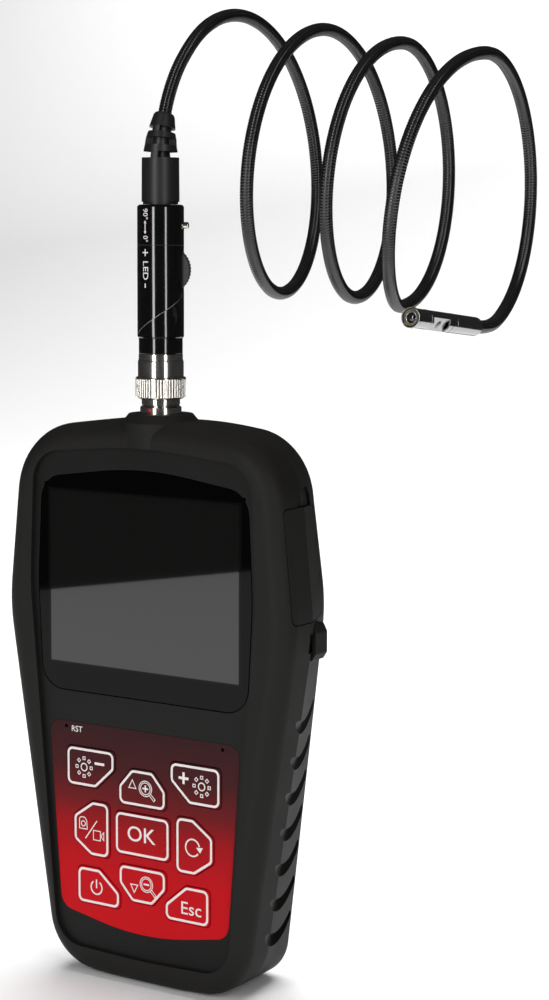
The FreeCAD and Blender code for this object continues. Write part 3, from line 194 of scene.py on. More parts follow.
class Finish:
    """A material around one Principled shader. Fixed values are set on the shader's own sockets."""

    def __init__(self, name, **fixed):
        self.material = bpy.data.materials.new(name)
        self.material.use_nodes = True
        self.tree = self.material.node_tree
        self.shader = self.tree.nodes["Principled BSDF"]
        for key, value in fixed.items():
            socket = self.shader.inputs[key.replace("_", " ").title().replace("Ior", "IOR")]
            socket.default_value = (*value, 1.0) if isinstance(value, tuple) else value
        self.places = {}

    def node(self, kind, settings, inputs, out=0):
        """Any node: its settings first, then the values or links of its sockets, by place or by name."""
        node = self.tree.nodes.new(kind)
        for key, value in settings.items():
            if key == "stops":
                ramp = node.color_ramp
                for place, colour in value[1:-1]:
                    ramp.elements.new(place)
                for element, (place, colour) in zip(ramp.elements, value):
                    element.position = place
                    element.color = (*colour, 1.0)
            else:
                setattr(node, key, value)
        pairs = inputs.items() if isinstance(inputs, dict) else enumerate(inputs)
        for key, value in pairs:
            socket = node.inputs[key]
            if isinstance(value, Wire):
                self.tree.links.new(value.socket, socket)
            elif isinstance(value, tuple) and len(value) == 3 and socket.type == "RGBA":
                socket.default_value = (*value, 1.0)
            else:
                socket.default_value = value
        return Wire(self, node.outputs[out])

    def feed(self, **links):
        for key, wire in links.items():
            self.tree.links.new(wire.socket, self.shader.inputs[key.replace("_", " ").title()])
        return self

    def spot(self, stretch=(1.0, 1.0, 1.0)):
        """The point in millimetres, each direction multiplied by its stretch."""
        if stretch not in self.places:
            raw = self.node("ShaderNodeTexCoord", {}, [], out=3)
            factor = tuple(s / MM for s in stretch)
            settings = {"operation": "MULTIPLY"}
            self.places[stretch] = self.node("ShaderNodeVectorMath", settings, [raw, factor])
        return self.places[stretch]

    def along(self, letter):
        return self.node("ShaderNodeSeparateXYZ", {}, [self.spot()], out="XYZ".index(letter))

    def noise(self, size_mm, detail=2.0, stretch=(1.0, 1.0, 1.0)):
        """Noise whose blobs are about size_mm across."""
        values = {"Vector": self.spot(stretch), "Scale": 1.0 / size_mm, "Detail": detail}
        return self.node("ShaderNodeTexNoise", {}, values)

    def blend(self, factor, first, second):
        values = {0: factor, 6: first, 7: second}
        node = self.tree.nodes.new("ShaderNodeMix")
        node.data_type = "RGBA"
        for place, value in values.items():
            if isinstance(value, Wire):
                self.tree.links.new(value.socket, node.inputs[place])
            else:
                node.inputs[place].default_value = (*value, 1.0) if place else value
        return Wire(self, node.outputs[2])

    def relief(self, height, depth_mm):
        values = {"Strength": 1.0, "Distance": depth_mm * MM, "Height": height}
        return self.feed(normal=self.node("ShaderNodeBump", {}, values))


def shade(colour, factor):
    return tuple(min(1.0, c * factor) for c in colour)


def moulded(name, colour, roughness, grain_mm, grain_depth, vary=0.25, **fixed):
    """Moulded plastic or rubber: a fine grain, and soft patches of other shades, by `vary`, and gloss."""
    finish = Finish(name, **fixed)
    patches = finish.noise(14.0, 3.0)
    finish.feed(base_color=finish.blend(patches, shade(colour, 1 - vary), shade(colour, 1 + vary)))
    finish.feed(roughness=patches * 0.12 + (roughness - 0.06))
    grain = finish.noise(grain_mm, 2.0) + finish.noise(grain_mm * 0.4, 1.0) * 0.4
    return finish.relief(grain, grain_depth).material


def turned_metal(name, colour, roughness, line_mm, line_depth, **fixed):
    """Machined metal: fine lines round the turning axis Z, with small stains in the gloss."""
    finish = Finish(name, metallic=1.0, base_color=colour, **fixed)
    lines = finish.noise(line_mm, 2.0, (0.04, 0.04, 1.0))
    finish.feed(roughness=lines * 0.1 + finish.noise(3.0, 3.0) * 0.08 + (roughness - 0.09))
    return finish.relief(lines, line_depth).material


def keypad_film(name):
    """Printed film: near black at the top of the keypad, fading to red below, with a fine tooth."""
    finish = Finish(name, specular_ior_level=0.06)
    height = finish.along("Z").ramp(*FILM_LOW_HIGH_Z)
    stops = [(0.0, (0.46, 0.005, 0.009)), (0.30, (0.41, 0.004, 0.008)),
             (0.50, (0.27, 0.005, 0.008)), (0.62, (0.12, 0.008, 0.010)),
             (0.78, (0.048, 0.009, 0.010)), (1.0, (0.026, 0.009, 0.010))]
    finish.feed(base_color=finish.node("ShaderNodeValToRGB", {"stops": stops}, [height]))
    finish.feed(roughness=finish.noise(5.0, 3.0) * 0.1 + 0.3)
    return finish.relief(finish.noise(0.25, 1.0), 0.006).material


def screen_window(name):
    """Smoked glass over the dark panel: a black printed border, and a dark grey area that mirrors more."""
    finish = Finish(name, coat_roughness=0.02, coat_ior=1.6, specular_ior_level=0.05)
    x = abs(finish.along("X"))
    z = abs(finish.along("Z") - SCREEN_Z)
    window = (WINDOW_HALF[0] - x).least(WINDOW_HALF[1] - z).ramp(-0.1, 0.1)
    lit = (LIT_HALF[0] - x).least(LIT_HALF[1] - z).ramp(-0.15, 0.15)
    border = finish.blend(window, (0.001, 0.001, 0.001), (0.003, 0.003, 0.003))
    panel = finish.noise(40.0, 1.0) * 0.1 + 0.95
    grey = finish.blend(panel, (0.0, 0.0, 0.0), (0.0035, 0.0035, 0.0033))
    finish.feed(base_color=finish.blend(lit, border, grey), coat_weight=lit * 0.88 + 0.12)
    finish.feed(roughness=finish.noise(30.0, 3.0) * 0.03 + 0.03)
    return finish.material


def wound_sheath(name):
    """Black sheath over a close wound spring: its turns are in the mesh, a crossing weave is added here, and
    painted shade darkens the colour in the valleys between the turns.
    """
    finish = Finish(name, coat_weight=0.25, coat_roughness=0.12)
    lay = finish.node("ShaderNodeUVMap", {"uv_map": "lay"}, [])
    u = finish.node("ShaderNodeSeparateXYZ", {}, [lay])
    v = finish.node("ShaderNodeSeparateXYZ", {}, [lay], out=1)
    turn = 2 * math.pi
    left = (u * turn * WEAVE_ROUND + v * (turn / WEAVE_PITCH)).sine()
    right = (u * turn * WEAVE_ROUND - v * (turn / WEAVE_PITCH)).sine()
    weave = left * right
    # painted shade: the colour is lighter on the tops of the wire's turns and darker in the valleys between
    # them, in step with the turns in the mesh
    painted_valley_shade = (v * (turn / WIRE_PITCH) - u * turn + math.pi / 2).sine()
    # the tone mixes the weave's own pattern with the painted valley shade
    tone = weave * 0.3 + painted_valley_shade * 0.7
    finish.feed(base_color=finish.blend(tone.ramp(-1, 1), (0.0015, 0.0015, 0.0015), (0.011, 0.011, 0.0105)))
    finish.feed(roughness=weave * 0.06 + finish.noise(8.0, 3.0) * 0.12 + 0.16)
    return finish.relief(weave, 0.03).material


def striped(name, colour, stripe, pitch, letter, roughness=0.4, **fixed):
    """Two tones in even stripes across one direction, for boards, wraps and contact rows."""
    finish = Finish(name, **fixed)
    wave = (finish.along(letter) * (2 * math.pi / pitch)).sine() + finish.noise(pitch * 2, 2.0) - 0.5
    finish.feed(base_color=finish.blend(wave.ramp(-0.1, 0.1), colour, stripe))
    finish.feed(roughness=finish.noise(4.0, 2.0) * 0.1 + (roughness - 0.05))
    return finish.relief(wave, 0.01).material


def coated_glass(name):
    """A small lens: near black, with a painted violet and green reflection of its coating that grows towards
    its rim.
    """
    finish = Finish(name, coat_weight=1.0, coat_roughness=0.01, roughness=0.03)
    rim = finish.node("ShaderNodeLayerWeight", {}, {"Blend": 0.35}, out=1)
    # painted reflection: the coating's violet and green tint is put into the colour, weighted by facing
    # towards the rim
    painted_coating_reflection = finish.blend(finish.noise(1.2, 1.0).ramp(0.4, 0.6), (0.02, 0.004, 0.035), (0.004, 0.02, 0.012))
    finish.feed(base_color=finish.blend(rim, (0.002, 0.002, 0.003), painted_coating_reflection))
    return finish.material


def phosphor(name):
    """Clear resin over yellow phosphor chips: yellow squares in a pale ground."""
    finish = Finish(name, coat_weight=0.8, roughness=0.2)
    chips = finish.noise(0.5, 0.0).ramp(0.5, 0.58)
    finish.feed(base_color=finish.blend(chips, (0.10, 0.09, 0.075), (0.16, 0.12, 0.03)))
    return finish.relief(chips, 0.02).material


FINISHES = {
    "boot_rubber": moulded("boot rubber", (0.0078, 0.0074, 0.0068), 0.6, 0.35, 0.02, 0.12,
                           specular_ior_level=0.16),
    "case_plastic": moulded("case plastic", (0.0048, 0.0047, 0.0044), 0.5, 0.25, 0.012, 0.1,
                            specular_ior_level=0.16),
    "screw_steel": turned_metal("dark zinc", (0.22, 0.22, 0.23), 0.35, 0.1, 0.004),
    "battery_wrap": striped("battery wrap", (0.03, 0.09, 0.3), (0.028, 0.08, 0.27), 6.0, "Z", 0.3),
    "lens_window": screen_window("screen window"),
    "gasket_foam": moulded("foam gasket", (0.012, 0.012, 0.012), 0.9, 0.2, 0.05),
    "screen_glass": screen_window("panel glass"),
    "screen_frame": turned_metal("screen tray", (0.75, 0.75, 0.74), 0.35, 0.3, 0.004),
    "keypad_print": keypad_film("keypad film"),
    "key_print": keypad_film("key film"),
    "dome_steel": turned_metal("dome steel", (0.75, 0.73, 0.68), 0.25, 0.2, 0.002),
    "circuit_board": striped("circuit board", (0.008, 0.10, 0.04), (0.012, 0.14, 0.055), 1.4, "Z", 0.35),
    "part_black": moulded("component black", (0.012, 0.012, 0.013), 0.6, 0.15, 0.01),
    "button_white": moulded("white button", (0.72, 0.72, 0.7), 0.45, 0.15, 0.004, 0.05),
    "socket_metal": turned_metal("socket plating", (0.68, 0.68, 0.67), 0.28, 0.2, 0.002),
    "card_plastic": striped("card plastic", (0.012, 0.012, 0.014), (0.02, 0.02, 0.022), 2.2, "Z", 0.5),
    "contact_gold": turned_metal("gold plating", (0.83, 0.6, 0.24), 0.2, 0.1, 0.002),
    "plug_chrome": turned_metal("polished nickel", (0.66, 0.63, 0.59), 0.16, 0.12, 0.003),
    "dot_red": moulded("red paint", (0.45, 0.008, 0.008), 0.3, 0.3, 0.004, 0.1),
    "handle_black": moulded("gloss black", (0.0025, 0.0025, 0.0026), 0.1, 1.2, 0.0012, 0.1),
    "wheel_plastic": moulded("wheel plastic", (0.012, 0.0118, 0.0115), 0.5, 0.15, 0.02),
    "relief_black": moulded("relief plastic", (0.0085, 0.0083, 0.008), 0.42, 0.4, 0.012, 0.15,
                            specular_ior_level=0.35),
    "gooseneck_sheath": wound_sheath("gooseneck sheath"),
    "head_steel": turned_metal("polished steel", (0.33, 0.33, 0.33), 0.12, 0.15, 0.001),
    "light_window": phosphor("light window"),
    "camera_glass": coated_glass("camera glass"),
}
WHITE_PRINT = moulded("white print", (0.66, 0.62, 0.61), 0.5, 0.3, 0.004, 0.04)
# a light grey metal hairline that stands for the light the seam's edge catches: a painted highlight
SEAM_HIGHLIGHT = turned_metal("painted seam highlight", (0.32, 0.31, 0.30), 0.3, 0.1, 0.002)

for row in frame["record"]["subparts"]:
    node = frame["nodes"][row["node"]]
    node.data.materials.clear()
    node.data.materials.append(FINISHES[row["material_slot"]])


# ------------------------------------------------------------------ gooseneck
COIL_LINE_Y = 35.0
COIL_TURN_OFF = math.radians(9.2)
COIL_ALONG = np.array([0.7, 13.6, 28.3, 38.6, 54.3, 53.4, 79.6, 79.2])
CURVE_PULL = 0.985          # a smooth curve's turns run inside its points by this much
COIL_RADII = np.array([42.1, 38.2, 40.1, 39.8, 38.8, 35.7, 39.8, 43.2]) / CURVE_PULL
COIL_HEIGHTS = np.array([250.0, 246.2, 247.3, 247.0, 243.8, 240.6, 239.4, 242.0])
CORD_RADIUS = 2.0
WIRE_DEPTH = 0.16
ROUTE_START = np.array([0.0, -4.7, 261.1])
ROUTE_UP = unit(np.array([0.0, 4.0, 13.1]))
HEAD_REAR = np.array([78.8, 42.0, 199.5])
HEAD_HEADING = unit(np.array([0.06, -0.993, 0.10]))
ROUTE_RUN = 9.9             # straight lengths out of the strain relief and into the head
HEAD_RUN = 8.0
SHEATH_PROUD = 0.03


def gooseneck_route():
    """Out of the strain relief, then a point at each eighteenth of a turn of the coil, then into the head.
    At t half turns the coil is `along` its line, `across` = radius sin(180 t) and up = radius cos(180 t)."""
    degrees = np.arange(-40.0, 1240.1, 20.0)
    t = degrees / 180.0
    k = np.clip(np.floor(t), 0, 6).astype(int)
    share = t - k
    along, radius, height = (row[k] + (row[k + 1] - row[k]) * share
                             for row in (COIL_ALONG, COIL_RADII, COIL_HEIGHTS))
    across = radius * np.sin(np.radians(degrees))
    coil = np.stack([along * math.cos(COIL_TURN_OFF) - across * math.sin(COIL_TURN_OFF),
                     COIL_LINE_Y + along * math.sin(COIL_TURN_OFF) + across * math.cos(COIL_TURN_OFF),
                     height + radius * np.cos(np.radians(degrees))], axis=-1)
    return np.vstack([ROUTE_START, ROUTE_START + ROUTE_UP * ROUTE_RUN, coil,
                      HEAD_REAR - HEAD_HEADING * HEAD_RUN, HEAD_REAR])


def smooth_line(name, points):
    """The points of a smooth NURBS curve through the route, in millimetres."""
    curve = bpy.data.curves.new(name, "CURVE")
    curve.dimensions = "3D"
    curve.resolution_u = 32
    spline = curve.splines.new("NURBS")
    spline.points.add(len(points) - 1)
    spline.points.foreach_set("co", np.c_[points * MM, np.ones(len(points))].ravel())
    spline.order_u = 3
    spline.use_endpoint_u = True
    holder = bpy.data.objects.new(name, curve)
    mesh = bpy.data.meshes.new_from_object(holder)
    flat = np.empty(len(mesh.vertices) * 3)
    mesh.vertices.foreach_get("co", flat)
    bpy.data.objects.remove(holder)
    bpy.data.curves.remove(curve)
    bpy.data.meshes.remove(mesh)
    return flat.reshape(-1, 3) / MM


def even_steps(line, step):
    """The same line with its points a step apart, and how far along it each one is."""
    far = np.concatenate([[0], np.cumsum(np.linalg.norm(np.diff(line, axis=0), axis=1))])
    count = int(round(far[-1] / step))
    at = np.linspace(0, far[-1], count + 1)
    return np.stack([np.interp(at, far, line[:, a]) for a in range(3)], axis=-1), at


# Each fine ring on the camera head: name, place from the head's rear, radius, half its thickness.
HEAD_RINGS = [("head_ring_front", 32.6, 2.72, 0.15), ("head_ring_rear", 16.2, 2.72, 0.13),
              ("head_rim", 40.9, 2.82, 0.17), ("head_lens_rim", 40.45, 1.62, 0.13)]


def head_ring(name, along, radius, thick):
    """A circle of radius `thick` carried round a circle that crosses the head's heading."""
    a = np.linspace(0, 2 * math.pi, 65)[:-1, None, None]
    b = np.linspace(0, 2 * math.pi, 9)[:-1, None]
    side = unit(np.cross(HEAD_HEADING, [0, 0, 1]))
    out = np.cos(a) * side + np.sin(a) * np.cross(HEAD_HEADING, side)
    middle = HEAD_REAR + HEAD_HEADING * along
    grid = middle + out * (radius + thick * np.cos(b)) + HEAD_HEADING * (thick * np.sin(b))
    return mesh_piece(name, [patch(grid, ring=True)], FINISHES["head_steel"], "probe")


def make_gooseneck():
    """A tube round the line: at distance s and turn a its radius is CORD_RADIUS and SHEATH_PROUD, less
    WIRE_DEPTH / 2 times 1 - cos(2 pi s / WIRE_PITCH - a), which is one wire wound close."""
    line = smooth_line("gooseneck_line", gooseneck_route())
    middle, s = even_steps(line, WIRE_PITCH / 5)
    heading = unit(np.gradient(middle, axis=0))
    reference = np.array([math.cos(COIL_TURN_OFF), math.sin(COIL_TURN_OFF), 0.0])
    side = unit(reference - heading * (heading @ reference)[:, None])
    other = np.cross(heading, side)
    turns = np.linspace(0, 2 * math.pi, 13)
    a = turns[None, :-1]
    wave = 1 - np.cos(2 * math.pi * s[:, None] / WIRE_PITCH - a)
    radius = CORD_RADIUS + SHEATH_PROUD - WIRE_DEPTH / 2 * wave
    grid = (middle[:, None] + radius[..., None] * (np.cos(a)[..., None] * side[:, None]
                                                    + np.sin(a)[..., None] * other[:, None]))
    tube = mesh_piece("gooseneck_tube", [patch(grid, uv=(turns / (2 * math.pi), s))],
                      FINISHES["gooseneck_sheath"], "probe")
    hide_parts("gooseneck")
    head = [frame["nodes"][n] for n in ("camera_body", "front_bezel", "light_ring", "front_lens", "side_lens",
                                        "side_lights")]
    head += [head_ring(*row) for row in HEAD_RINGS]


make_gooseneck()


# ------------------------------------------------------------------ printed signs
def stroke(points, width, closed=False):
    """A flat line of even width through (x, z) points: each point moves along the bisector of its two runs by
    half the width over the cosine of half their turn, to both sides. Rows are its section's four corners."""
    p = np.asarray(points, float)
    ahead = unit(np.roll(p, -1, axis=0) - p)
    behind = unit(p - np.roll(p, 1, axis=0))
    if not closed:
        ahead[-1] = behind[-1]
        behind[0] = ahead[0]
    turned = [np.stack([-d[:, 1], d[:, 0]], axis=-1) for d in (behind, ahead)]
    bisector = unit(turned[0] + turned[1])
    reach = width / 2 / np.maximum((bisector * turned[0]).sum(-1, keepdims=True), 0.35)
    left, right = p + bisector * reach, p - bisector * reach
    top, low = np.full((len(p), 1), PRINT_HEIGHT), np.full((len(p), 1), -PRINT_SUNK)
    rows = [np.c_[left, low], np.c_[right, low], np.c_[right, top], np.c_[left, top]]
    return np.stack(rows, axis=1), closed


def arc(x, z, radius, start, end, count=24):
    a = np.radians(np.linspace(start, end, count))
    return np.stack([x + radius * np.cos(a), z + radius * np.sin(a)], axis=-1)


def circle(x, z, radius, count=24):
    return arc(x, z, radius, 0, 360 - 360 / count, count)


def rounded(points, radius, inset):
    """A closed outline moved inwards, each corner replaced by an arc that touches both sides."""
    p = np.asarray(points, float)
    middle = p.mean(axis=0)
    before, after = unit(np.roll(p, 1, axis=0) - p), unit(np.roll(p, -1, axis=0) - p)
    inward = unit(before + after)
    half = np.arccos(np.clip((before * inward).sum(-1), -1, 1))
    p = p + inward * (inset / np.sin(half))[:, None]
    centres = p + inward * (radius / np.sin(half))[:, None]
    line = []
    for corner, centre, b, a in zip(p, centres, before, after):
        first = corner + b * np.dot(centre - corner, b) - centre
        last = corner + a * np.dot(centre - corner, a) - centre
        start, end = math.atan2(first[1], first[0]), math.atan2(last[1], last[0])
        sweep = (end - start + math.pi) % (2 * math.pi) - math.pi
        turn = start + sweep * np.linspace(0, 1, 7)
        line.append(centre + radius * np.stack([np.cos(turn), np.sin(turn)], axis=-1))
    return np.vstack(line)


def on_face(y):
    """Places a flat sign's (x, z, height) on a plane that faces the front."""
    return lambda q: np.stack([q[..., 0], y - q[..., 2], q[..., 1]], axis=-1)


def on_handle(top_z, turn):
    """Wraps a flat sign's (x, z, height) round the handle so that it reads downwards from top_z."""
    def place(q):
        radius = HANDLE_RADIUS + q[..., 2]
        a = math.radians(turn) + q[..., 1] / HANDLE_RADIUS
        return np.stack([radius * np.sin(a), AXIS_Y - radius * np.cos(a), top_z - q[..., 0]], axis=-1)
    return place


def sign(name, strokes, place, body, words=()):
    """Printed lines, and words as (text, x, z, size), put on a surface as one thin white piece."""
    patches = [patch(place(grid), ring=closed) for grid, closed in strokes]
    for word in words:
        patches.append(lettering(*word, place))
    return mesh_piece(name, patches, WHITE_PRINT, body, smooth=False)


def lettering(text, x, z, size, widen, place):
    """Plain letters centred on (x, z), cut into narrow bands so that they bend with the surface."""
    font = bpy.data.curves.new("letters", "FONT")
    font.body = text
    font.size = size
    font.extrude = (PRINT_HEIGHT + PRINT_SUNK) / 2
    font.offset = 0.002 * size
    font.align_x, font.align_y = "CENTER", "CENTER"
    font.resolution_u = 4
    holder = bpy.data.objects.new("letters", font)
    mesh = bpy.data.meshes.new_from_object(holder)
    work = bmesh.new()
    work.from_mesh(mesh)
    bmesh.ops.remove_doubles(work, verts=work.verts, dist=1e-4)
    for level in np.linspace(-0.3, 0.3, 5) * size:
        geometry = work.verts[:] + work.edges[:] + work.faces[:]
        bmesh.ops.bisect_plane(work, geom=geometry, plane_co=(0, level, 0), plane_no=(0, 1, 0))
    bmesh.ops.triangulate(work, faces=work.faces)
    work.verts.ensure_lookup_table()
    points = np.array([v.co for v in work.verts])
    tris = np.array([[v.index for v in f.verts] for f in work.faces])
    work.free()
    bpy.data.objects.remove(holder)
    bpy.data.curves.remove(font)
    bpy.data.meshes.remove(mesh)
    raised = points[:, 2] + (PRINT_HEIGHT - PRINT_SUNK) / 2
    flat = np.stack([points[:, 0] * widen + x, points[:, 1] + z, raised], axis=-1)
    return place(flat), np.zeros((0, 4), int), tris, None


def sun(x, z):
    """A ring with eight small hollow squares round it."""
    marks = [stroke(circle(x, z, 1.15), 0.36, True)]
    for k in range(8):
        a = math.radians(45 * k)
        out, along = np.array([math.cos(a), math.sin(a)]), np.array([-math.sin(a), math.cos(a)])
        centre = np.array([x, z]) + out * 2.75
        square = [centre + out * p * 0.42 + along * q * 0.42 for p, q in ((-1, -1), (1, -1), (1, 1), (-1, 1))]
        marks.append(stroke(square, 0.26, True))
    return marks


def solid(corners):
    """A filled flat shape with these corners."""
    p = np.asarray(corners, float)
    rows = [np.c_[p, np.full(len(p), level)] for level in (-PRINT_SUNK, PRINT_HEIGHT)]
    return np.stack(rows), False


def bar(x0, z0, x1, z1, width):
    return stroke([(x0, z0), (x1, z1)], width)


def plus(x, z, reach, width):
    half = width / 2
    return [bar(x - reach, z, x + reach, z, width), bar(x, z + half, x, z + reach, width),
            bar(x, z - reach, x, z - half, width)]


def double_arrow(start, end, half_width):
    """A line with a filled head at each end."""
    head = 1.7 * half_width
    return [bar(start + head, 0, end - head, 0, 0.3),
            solid([(start, 0), (start + head, half_width), (start + head, -half_width)]),
            solid([(end, 0), (end - head, half_width), (end - head, -half_width)])]


def magnifier(x, z, bigger):
    marks = [stroke(circle(x, z, 2.35), 0.26, True), stroke(circle(x, z, 1.8), 0.26, True)]
    marks += plus(x, z, 1.05, 0.5) if bigger else [bar(x - 1.05, z, x + 1.05, z, 0.5)]
    d = np.array([0.72, -0.69])
    n = np.array([0.69, 0.72]) * 0.36
    start, end = np.array([x, z]) + d * 2.45, np.array([x, z]) + d * 4.7
    marks.append(stroke([start + n, end + n, end - n, start - n], 0.24))
    return marks


def triangle(x, z, up):
    s = 1 if up else -1
    return [stroke([(x - 1.35, z - s * 1.1), (x + 1.35, z - s * 1.1), (x, z + s * 1.35)], 0.28, True)]


def photo_or_film():
    """A still camera, a slash and a film camera."""
    still = [(-24.0, 45.5), (-24.0, 48.5), (-23.4, 49.1), (-22.0, 49.1), (-21.2, 48.2), (-21.0, 45.5)]
    film = [(-18.6, 45.5), (-18.6, 42.6), (-15.9, 42.6), (-15.9, 45.5)]
    horn = [(-15.5, 44.4), (-14.6, 45.3), (-14.6, 42.9), (-15.5, 43.8)]
    return [stroke(still, 0.27, True), stroke(circle(-22.5, 47.1, 0.8), 0.27, True),
            bar(-17.2, 48.6, -21.7, 42.6, 0.34), stroke(film, 0.27, True), stroke(horn, 0.24, True)]


def turn_arrow(x, z):
    head = [(x + 1.35, z + 0.25), (x + 2.75, z - 1.3), (x + 3.75, z + 0.45)]
    return [stroke(arc(x, z, 2.55, 14, 322, 30), 0.45), solid(head)]


def power(x, z):
    return [stroke(arc(x, z, 2.1, 125, 415, 28), 0.45), bar(x, z + 2.5, x, z - 0.2, 0.45)]


BORDER_CORNER = 1.6
BORDER_INSET = 0.75
BORDER_WIDTH = 0.72
# Each key's outline as (x, z) corners, the marks on it, and its words.
KEYS = {
    "key_light_down": ([(-28.9, 70.9), (-10.4, 70.9), (-10.4, 65.0), (-17.5, 58.6), (-28.9, 58.6)],
                       sun(-22.1, 64.7) + [bar(-18.0, 66.4, -14.3, 66.4, 0.8)], []),
    "key_light_up": ([(28.9, 58.6), (17.5, 58.6), (10.4, 65.0), (10.4, 70.9), (28.9, 70.9)],
                     sun(22.1, 64.7) + plus(15.5, 66.4, 1.8, 0.8), []),
    "key_zoom_in": ([(-4.0, 66.7), (4.0, 66.7), (8.9, 61.2), (8.9, 55.2), (-8.9, 55.2), (-8.9, 61.2)],
                    triangle(-3.6, 61.9, True) + magnifier(1.3, 61.2, True), []),
    "key_capture": ([(-19.0, 54.6), (-12.5, 54.6), (-12.5, 37.4), (-19.6, 37.4), (-26.3, 41.9),
                     (-26.3, 49.6)], photo_or_film(), []),
    "key_ok": ([(-10.3, 53.1), (10.3, 53.1), (10.3, 39.8), (-10.3, 39.8)], [],
               [("OK", -0.4, 46.5, 6.6, 1.1)]),
    "key_rotate": ([(26.3, 49.6), (26.3, 41.9), (19.6, 37.4), (12.5, 37.4), (12.5, 54.6), (19.0, 54.6)],
                   turn_arrow(18.8, 45.8), []),
    "key_power": ([(-24.9, 33.8), (-16.2, 33.8), (-8.5, 27.4), (-8.5, 22.3), (-24.9, 22.3)],
                  power(-17.5, 27.8), []),
    "key_escape": ([(24.9, 22.3), (8.5, 22.3), (8.5, 27.4), (16.2, 33.8), (24.9, 33.8)], [],
                   [("Esc", 18.2, 26.8, 5.5, 1.1)]),
    "key_zoom_out": ([(-8.9, 36.8), (8.9, 36.8), (8.9, 30.9), (3.9, 25.5), (-3.9, 25.5), (-8.9, 30.9)],
                     triangle(-3.0, 30.0, False) + magnifier(1.6, 31.8, False), []),
}

for key, (corners, marks, words) in KEYS.items():
    border = stroke(rounded(corners, BORDER_CORNER, BORDER_INSET), BORDER_WIDTH, True)
    sign("sign_of_" + key, [border] + marks, on_face(KEY_FRONT_Y), key, words)

sign("sign_reset", [], on_face(FACE_Y), "handset", [("RST", -25.2, 76.0, 2.6, 1.0)])
sign("sign_view_switch", double_arrow(4.0, 8.0, 0.5), on_handle(234.2, -4.0), "probe",
     [("90°", 2.2, 0.0, 2.4, 1.0), ("0°", 9.4, 0.0, 2.4, 0.9)])
sign("sign_dimmer", plus(1.2, 0.0, 1.05, 0.36) + [bar(10.2, 0, 11.5, 0, 0.4)], on_handle(222.0, -4.0),
     "probe", [("LED", 6.4, 0.0, 2.8, 1.18)])


# ------------------------------------------------------------------ seams on the probe
SPLIT_REACH = 7.0           # how far from the handle's axis the winding seam is lowest and highest
SPLIT_TURN = math.radians(34)


def seam(name, low, high, width, finish):
    """A hairline round the handle. At angle a from +X, its place from low to high is 1 / 2 plus
    asin(HANDLE_RADIUS / SPLIT_REACH cos(a - SPLIT_TURN)) / pi: up half way round, and down again behind."""
    a = np.linspace(0, 2 * math.pi, 193)[:-1]
    climb = np.arcsin(HANDLE_RADIUS / SPLIT_REACH * np.cos(a - SPLIT_TURN)) / math.pi + 0.5
    z = low + (high - low) * climb
    rows = []
    for r, dz in ((-0.05, -width), (-0.05, width), (0.02, width), (0.02, -width)):
        r += HANDLE_RADIUS
        rows.append(np.stack([r * np.cos(a), AXIS_Y + r * np.sin(a), z + dz / 2], axis=-1))
    mesh_piece(name, [patch(np.stack(rows, axis=1), ring=True)], finish, "probe")


# the winding seam is drawn as a light hairline, a painted highlight of its edge
seam("seam_winding", low=195.4, high=210.0, width=0.17, finish=SEAM_HIGHLIGHT)
seam("seam_cap", low=223.0, high=223.0, width=0.12, finish=FINISHES["part_black"])


# ------------------------------------------------------------------ studio
PAPER = moulded("pale paper", (0.88, 0.88, 0.88), 0.8, 2.0, 0.02, 0.01)
TABLE_NEAR = -0.8           # metres, as is all of the studio
TABLE_FAR = 0.5
TABLE_LEFT = (-0.431, -0.978)
TABLE_RIGHT = 0.4
BACKDROP_NEAR = -3.0
BACKDROP_BEND = 1.2         # where the paper starts to curve up, and the radius of its curve
BACKDROP_TOP = 3.8
BACKDROP_HALF_WIDTH = 4.0
BACKDROP_UNDER = 0.0005


def studio_sheet(name, grid, gives_light):
    points, quads, _, _ = patch(grid, around=False)
    mesh = bpy.data.meshes.new(name)
    mesh.from_pydata(points.tolist(), [], quads.tolist())
    mesh.materials.append(PAPER)
    mesh.polygons.foreach_set("use_smooth", np.ones(len(mesh.polygons), bool))
    sheet = bpy.data.objects.new(name, mesh)
    bpy.context.scene.collection.objects.link(sheet)
    sheet.visible_glossy = gives_light
    sheet.visible_diffuse = gives_light


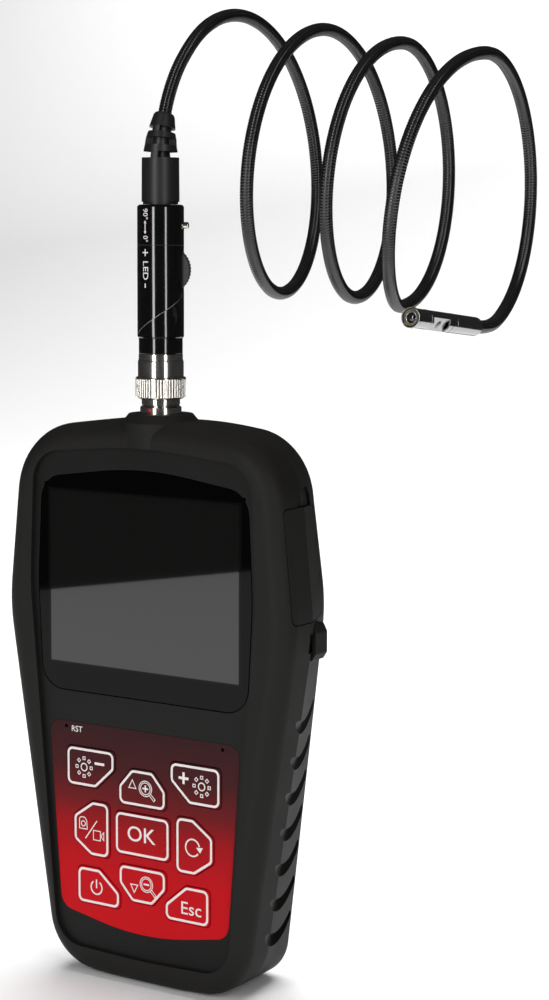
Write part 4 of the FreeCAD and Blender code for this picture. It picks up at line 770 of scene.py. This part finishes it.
def make_studio():
    """A table with a slanting left edge, its x at the near and the far end given by TABLE_LEFT. Under it
    lies paper that runs back and curves up into a backdrop: y grows and z follows a quarter turn. Mirrored
    and scattered light comes from the table alone."""
    share = np.linspace(0, 1, 13)
    y = np.linspace(TABLE_NEAR, TABLE_FAR, 13)[:, None]
    left = np.linspace(*TABLE_LEFT, 13)[:, None]
    x = left + (TABLE_RIGHT - left) * share
    studio_sheet("table", np.stack([x, np.broadcast_to(y, x.shape), np.zeros(x.shape)], axis=-1), True)
    a = np.linspace(0, math.pi / 2, 25)
    r = BACKDROP_BEND
    level = np.stack([np.linspace(BACKDROP_NEAR, r, 25)[:-1], np.zeros(24)], axis=-1)
    bend = np.stack([r + r * np.sin(a), r - r * np.cos(a)], axis=-1)
    wall = np.stack([np.full(12, 2 * r), r + (BACKDROP_TOP - r) * share[1:]], axis=-1)
    line = np.vstack([level, bend, wall])
    x = np.broadcast_to(np.linspace(-BACKDROP_HALF_WIDTH, BACKDROP_HALF_WIDTH, 9), (len(line), 9))
    y, z = (np.repeat(line[:, k:k + 1], 9, 1) for k in (0, 1))
    studio_sheet("backdrop", np.stack([x, y, z - BACKDROP_UNDER], axis=-1), False)


LIT_POINT = np.array([0.02, 0.0, 0.13])


def soft_box(name, turn, height, distance, size, power):
    """An area light turned towards the middle of the object, from `turn` degrees round it."""
    data = bpy.data.lights.new(name, "AREA")
    data.shape = "RECTANGLE"
    data.size, data.size_y = size
    data.energy = power
    light = bpy.data.objects.new(name, data)
    bpy.context.scene.collection.objects.link(light)
    a = math.radians(turn)
    place = np.array([distance * math.sin(a), -distance * math.cos(a), height])
    back = unit(place - LIT_POINT)
    right = unit(np.cross([0, 0, 1], back))
    axes = np.eye(4)
    axes[:3, 0], axes[:3, 1], axes[:3, 2], axes[:3, 3] = right, np.cross(back, right), back, place
    light.matrix_world = Matrix(axes.tolist())
    return light


make_studio()
soft_box("strip_left", turn=1.0, height=0.55, distance=1.6, size=(0.3, 1.5), power=18)
soft_box("strip_right", turn=62.0, height=0.55, distance=1.6, size=(0.22, 1.5), power=12)
overhead = soft_box("overhead", turn=190.0, height=2.4, distance=0.8, size=(2.4, 2.4), power=112)
overhead.visible_glossy = False
backlight = soft_box("backlight", turn=200.0, height=1.3, distance=1.3, size=(2.4, 1.2), power=60)
backlight.visible_glossy = False
backlight.matrix_world = backlight.matrix_world @ Matrix.Rotation(math.pi, 4, "Y")

world = bpy.data.worlds.new("studio")
world.use_nodes = True
world.node_tree.nodes["Background"].inputs["Color"].default_value = (1.0, 1.0, 1.0, 1.0)
world.node_tree.nodes["Background"].inputs["Strength"].default_value = 0.04
bpy.context.scene.world = world
bpy.context.scene.view_settings.view_transform = "Standard"
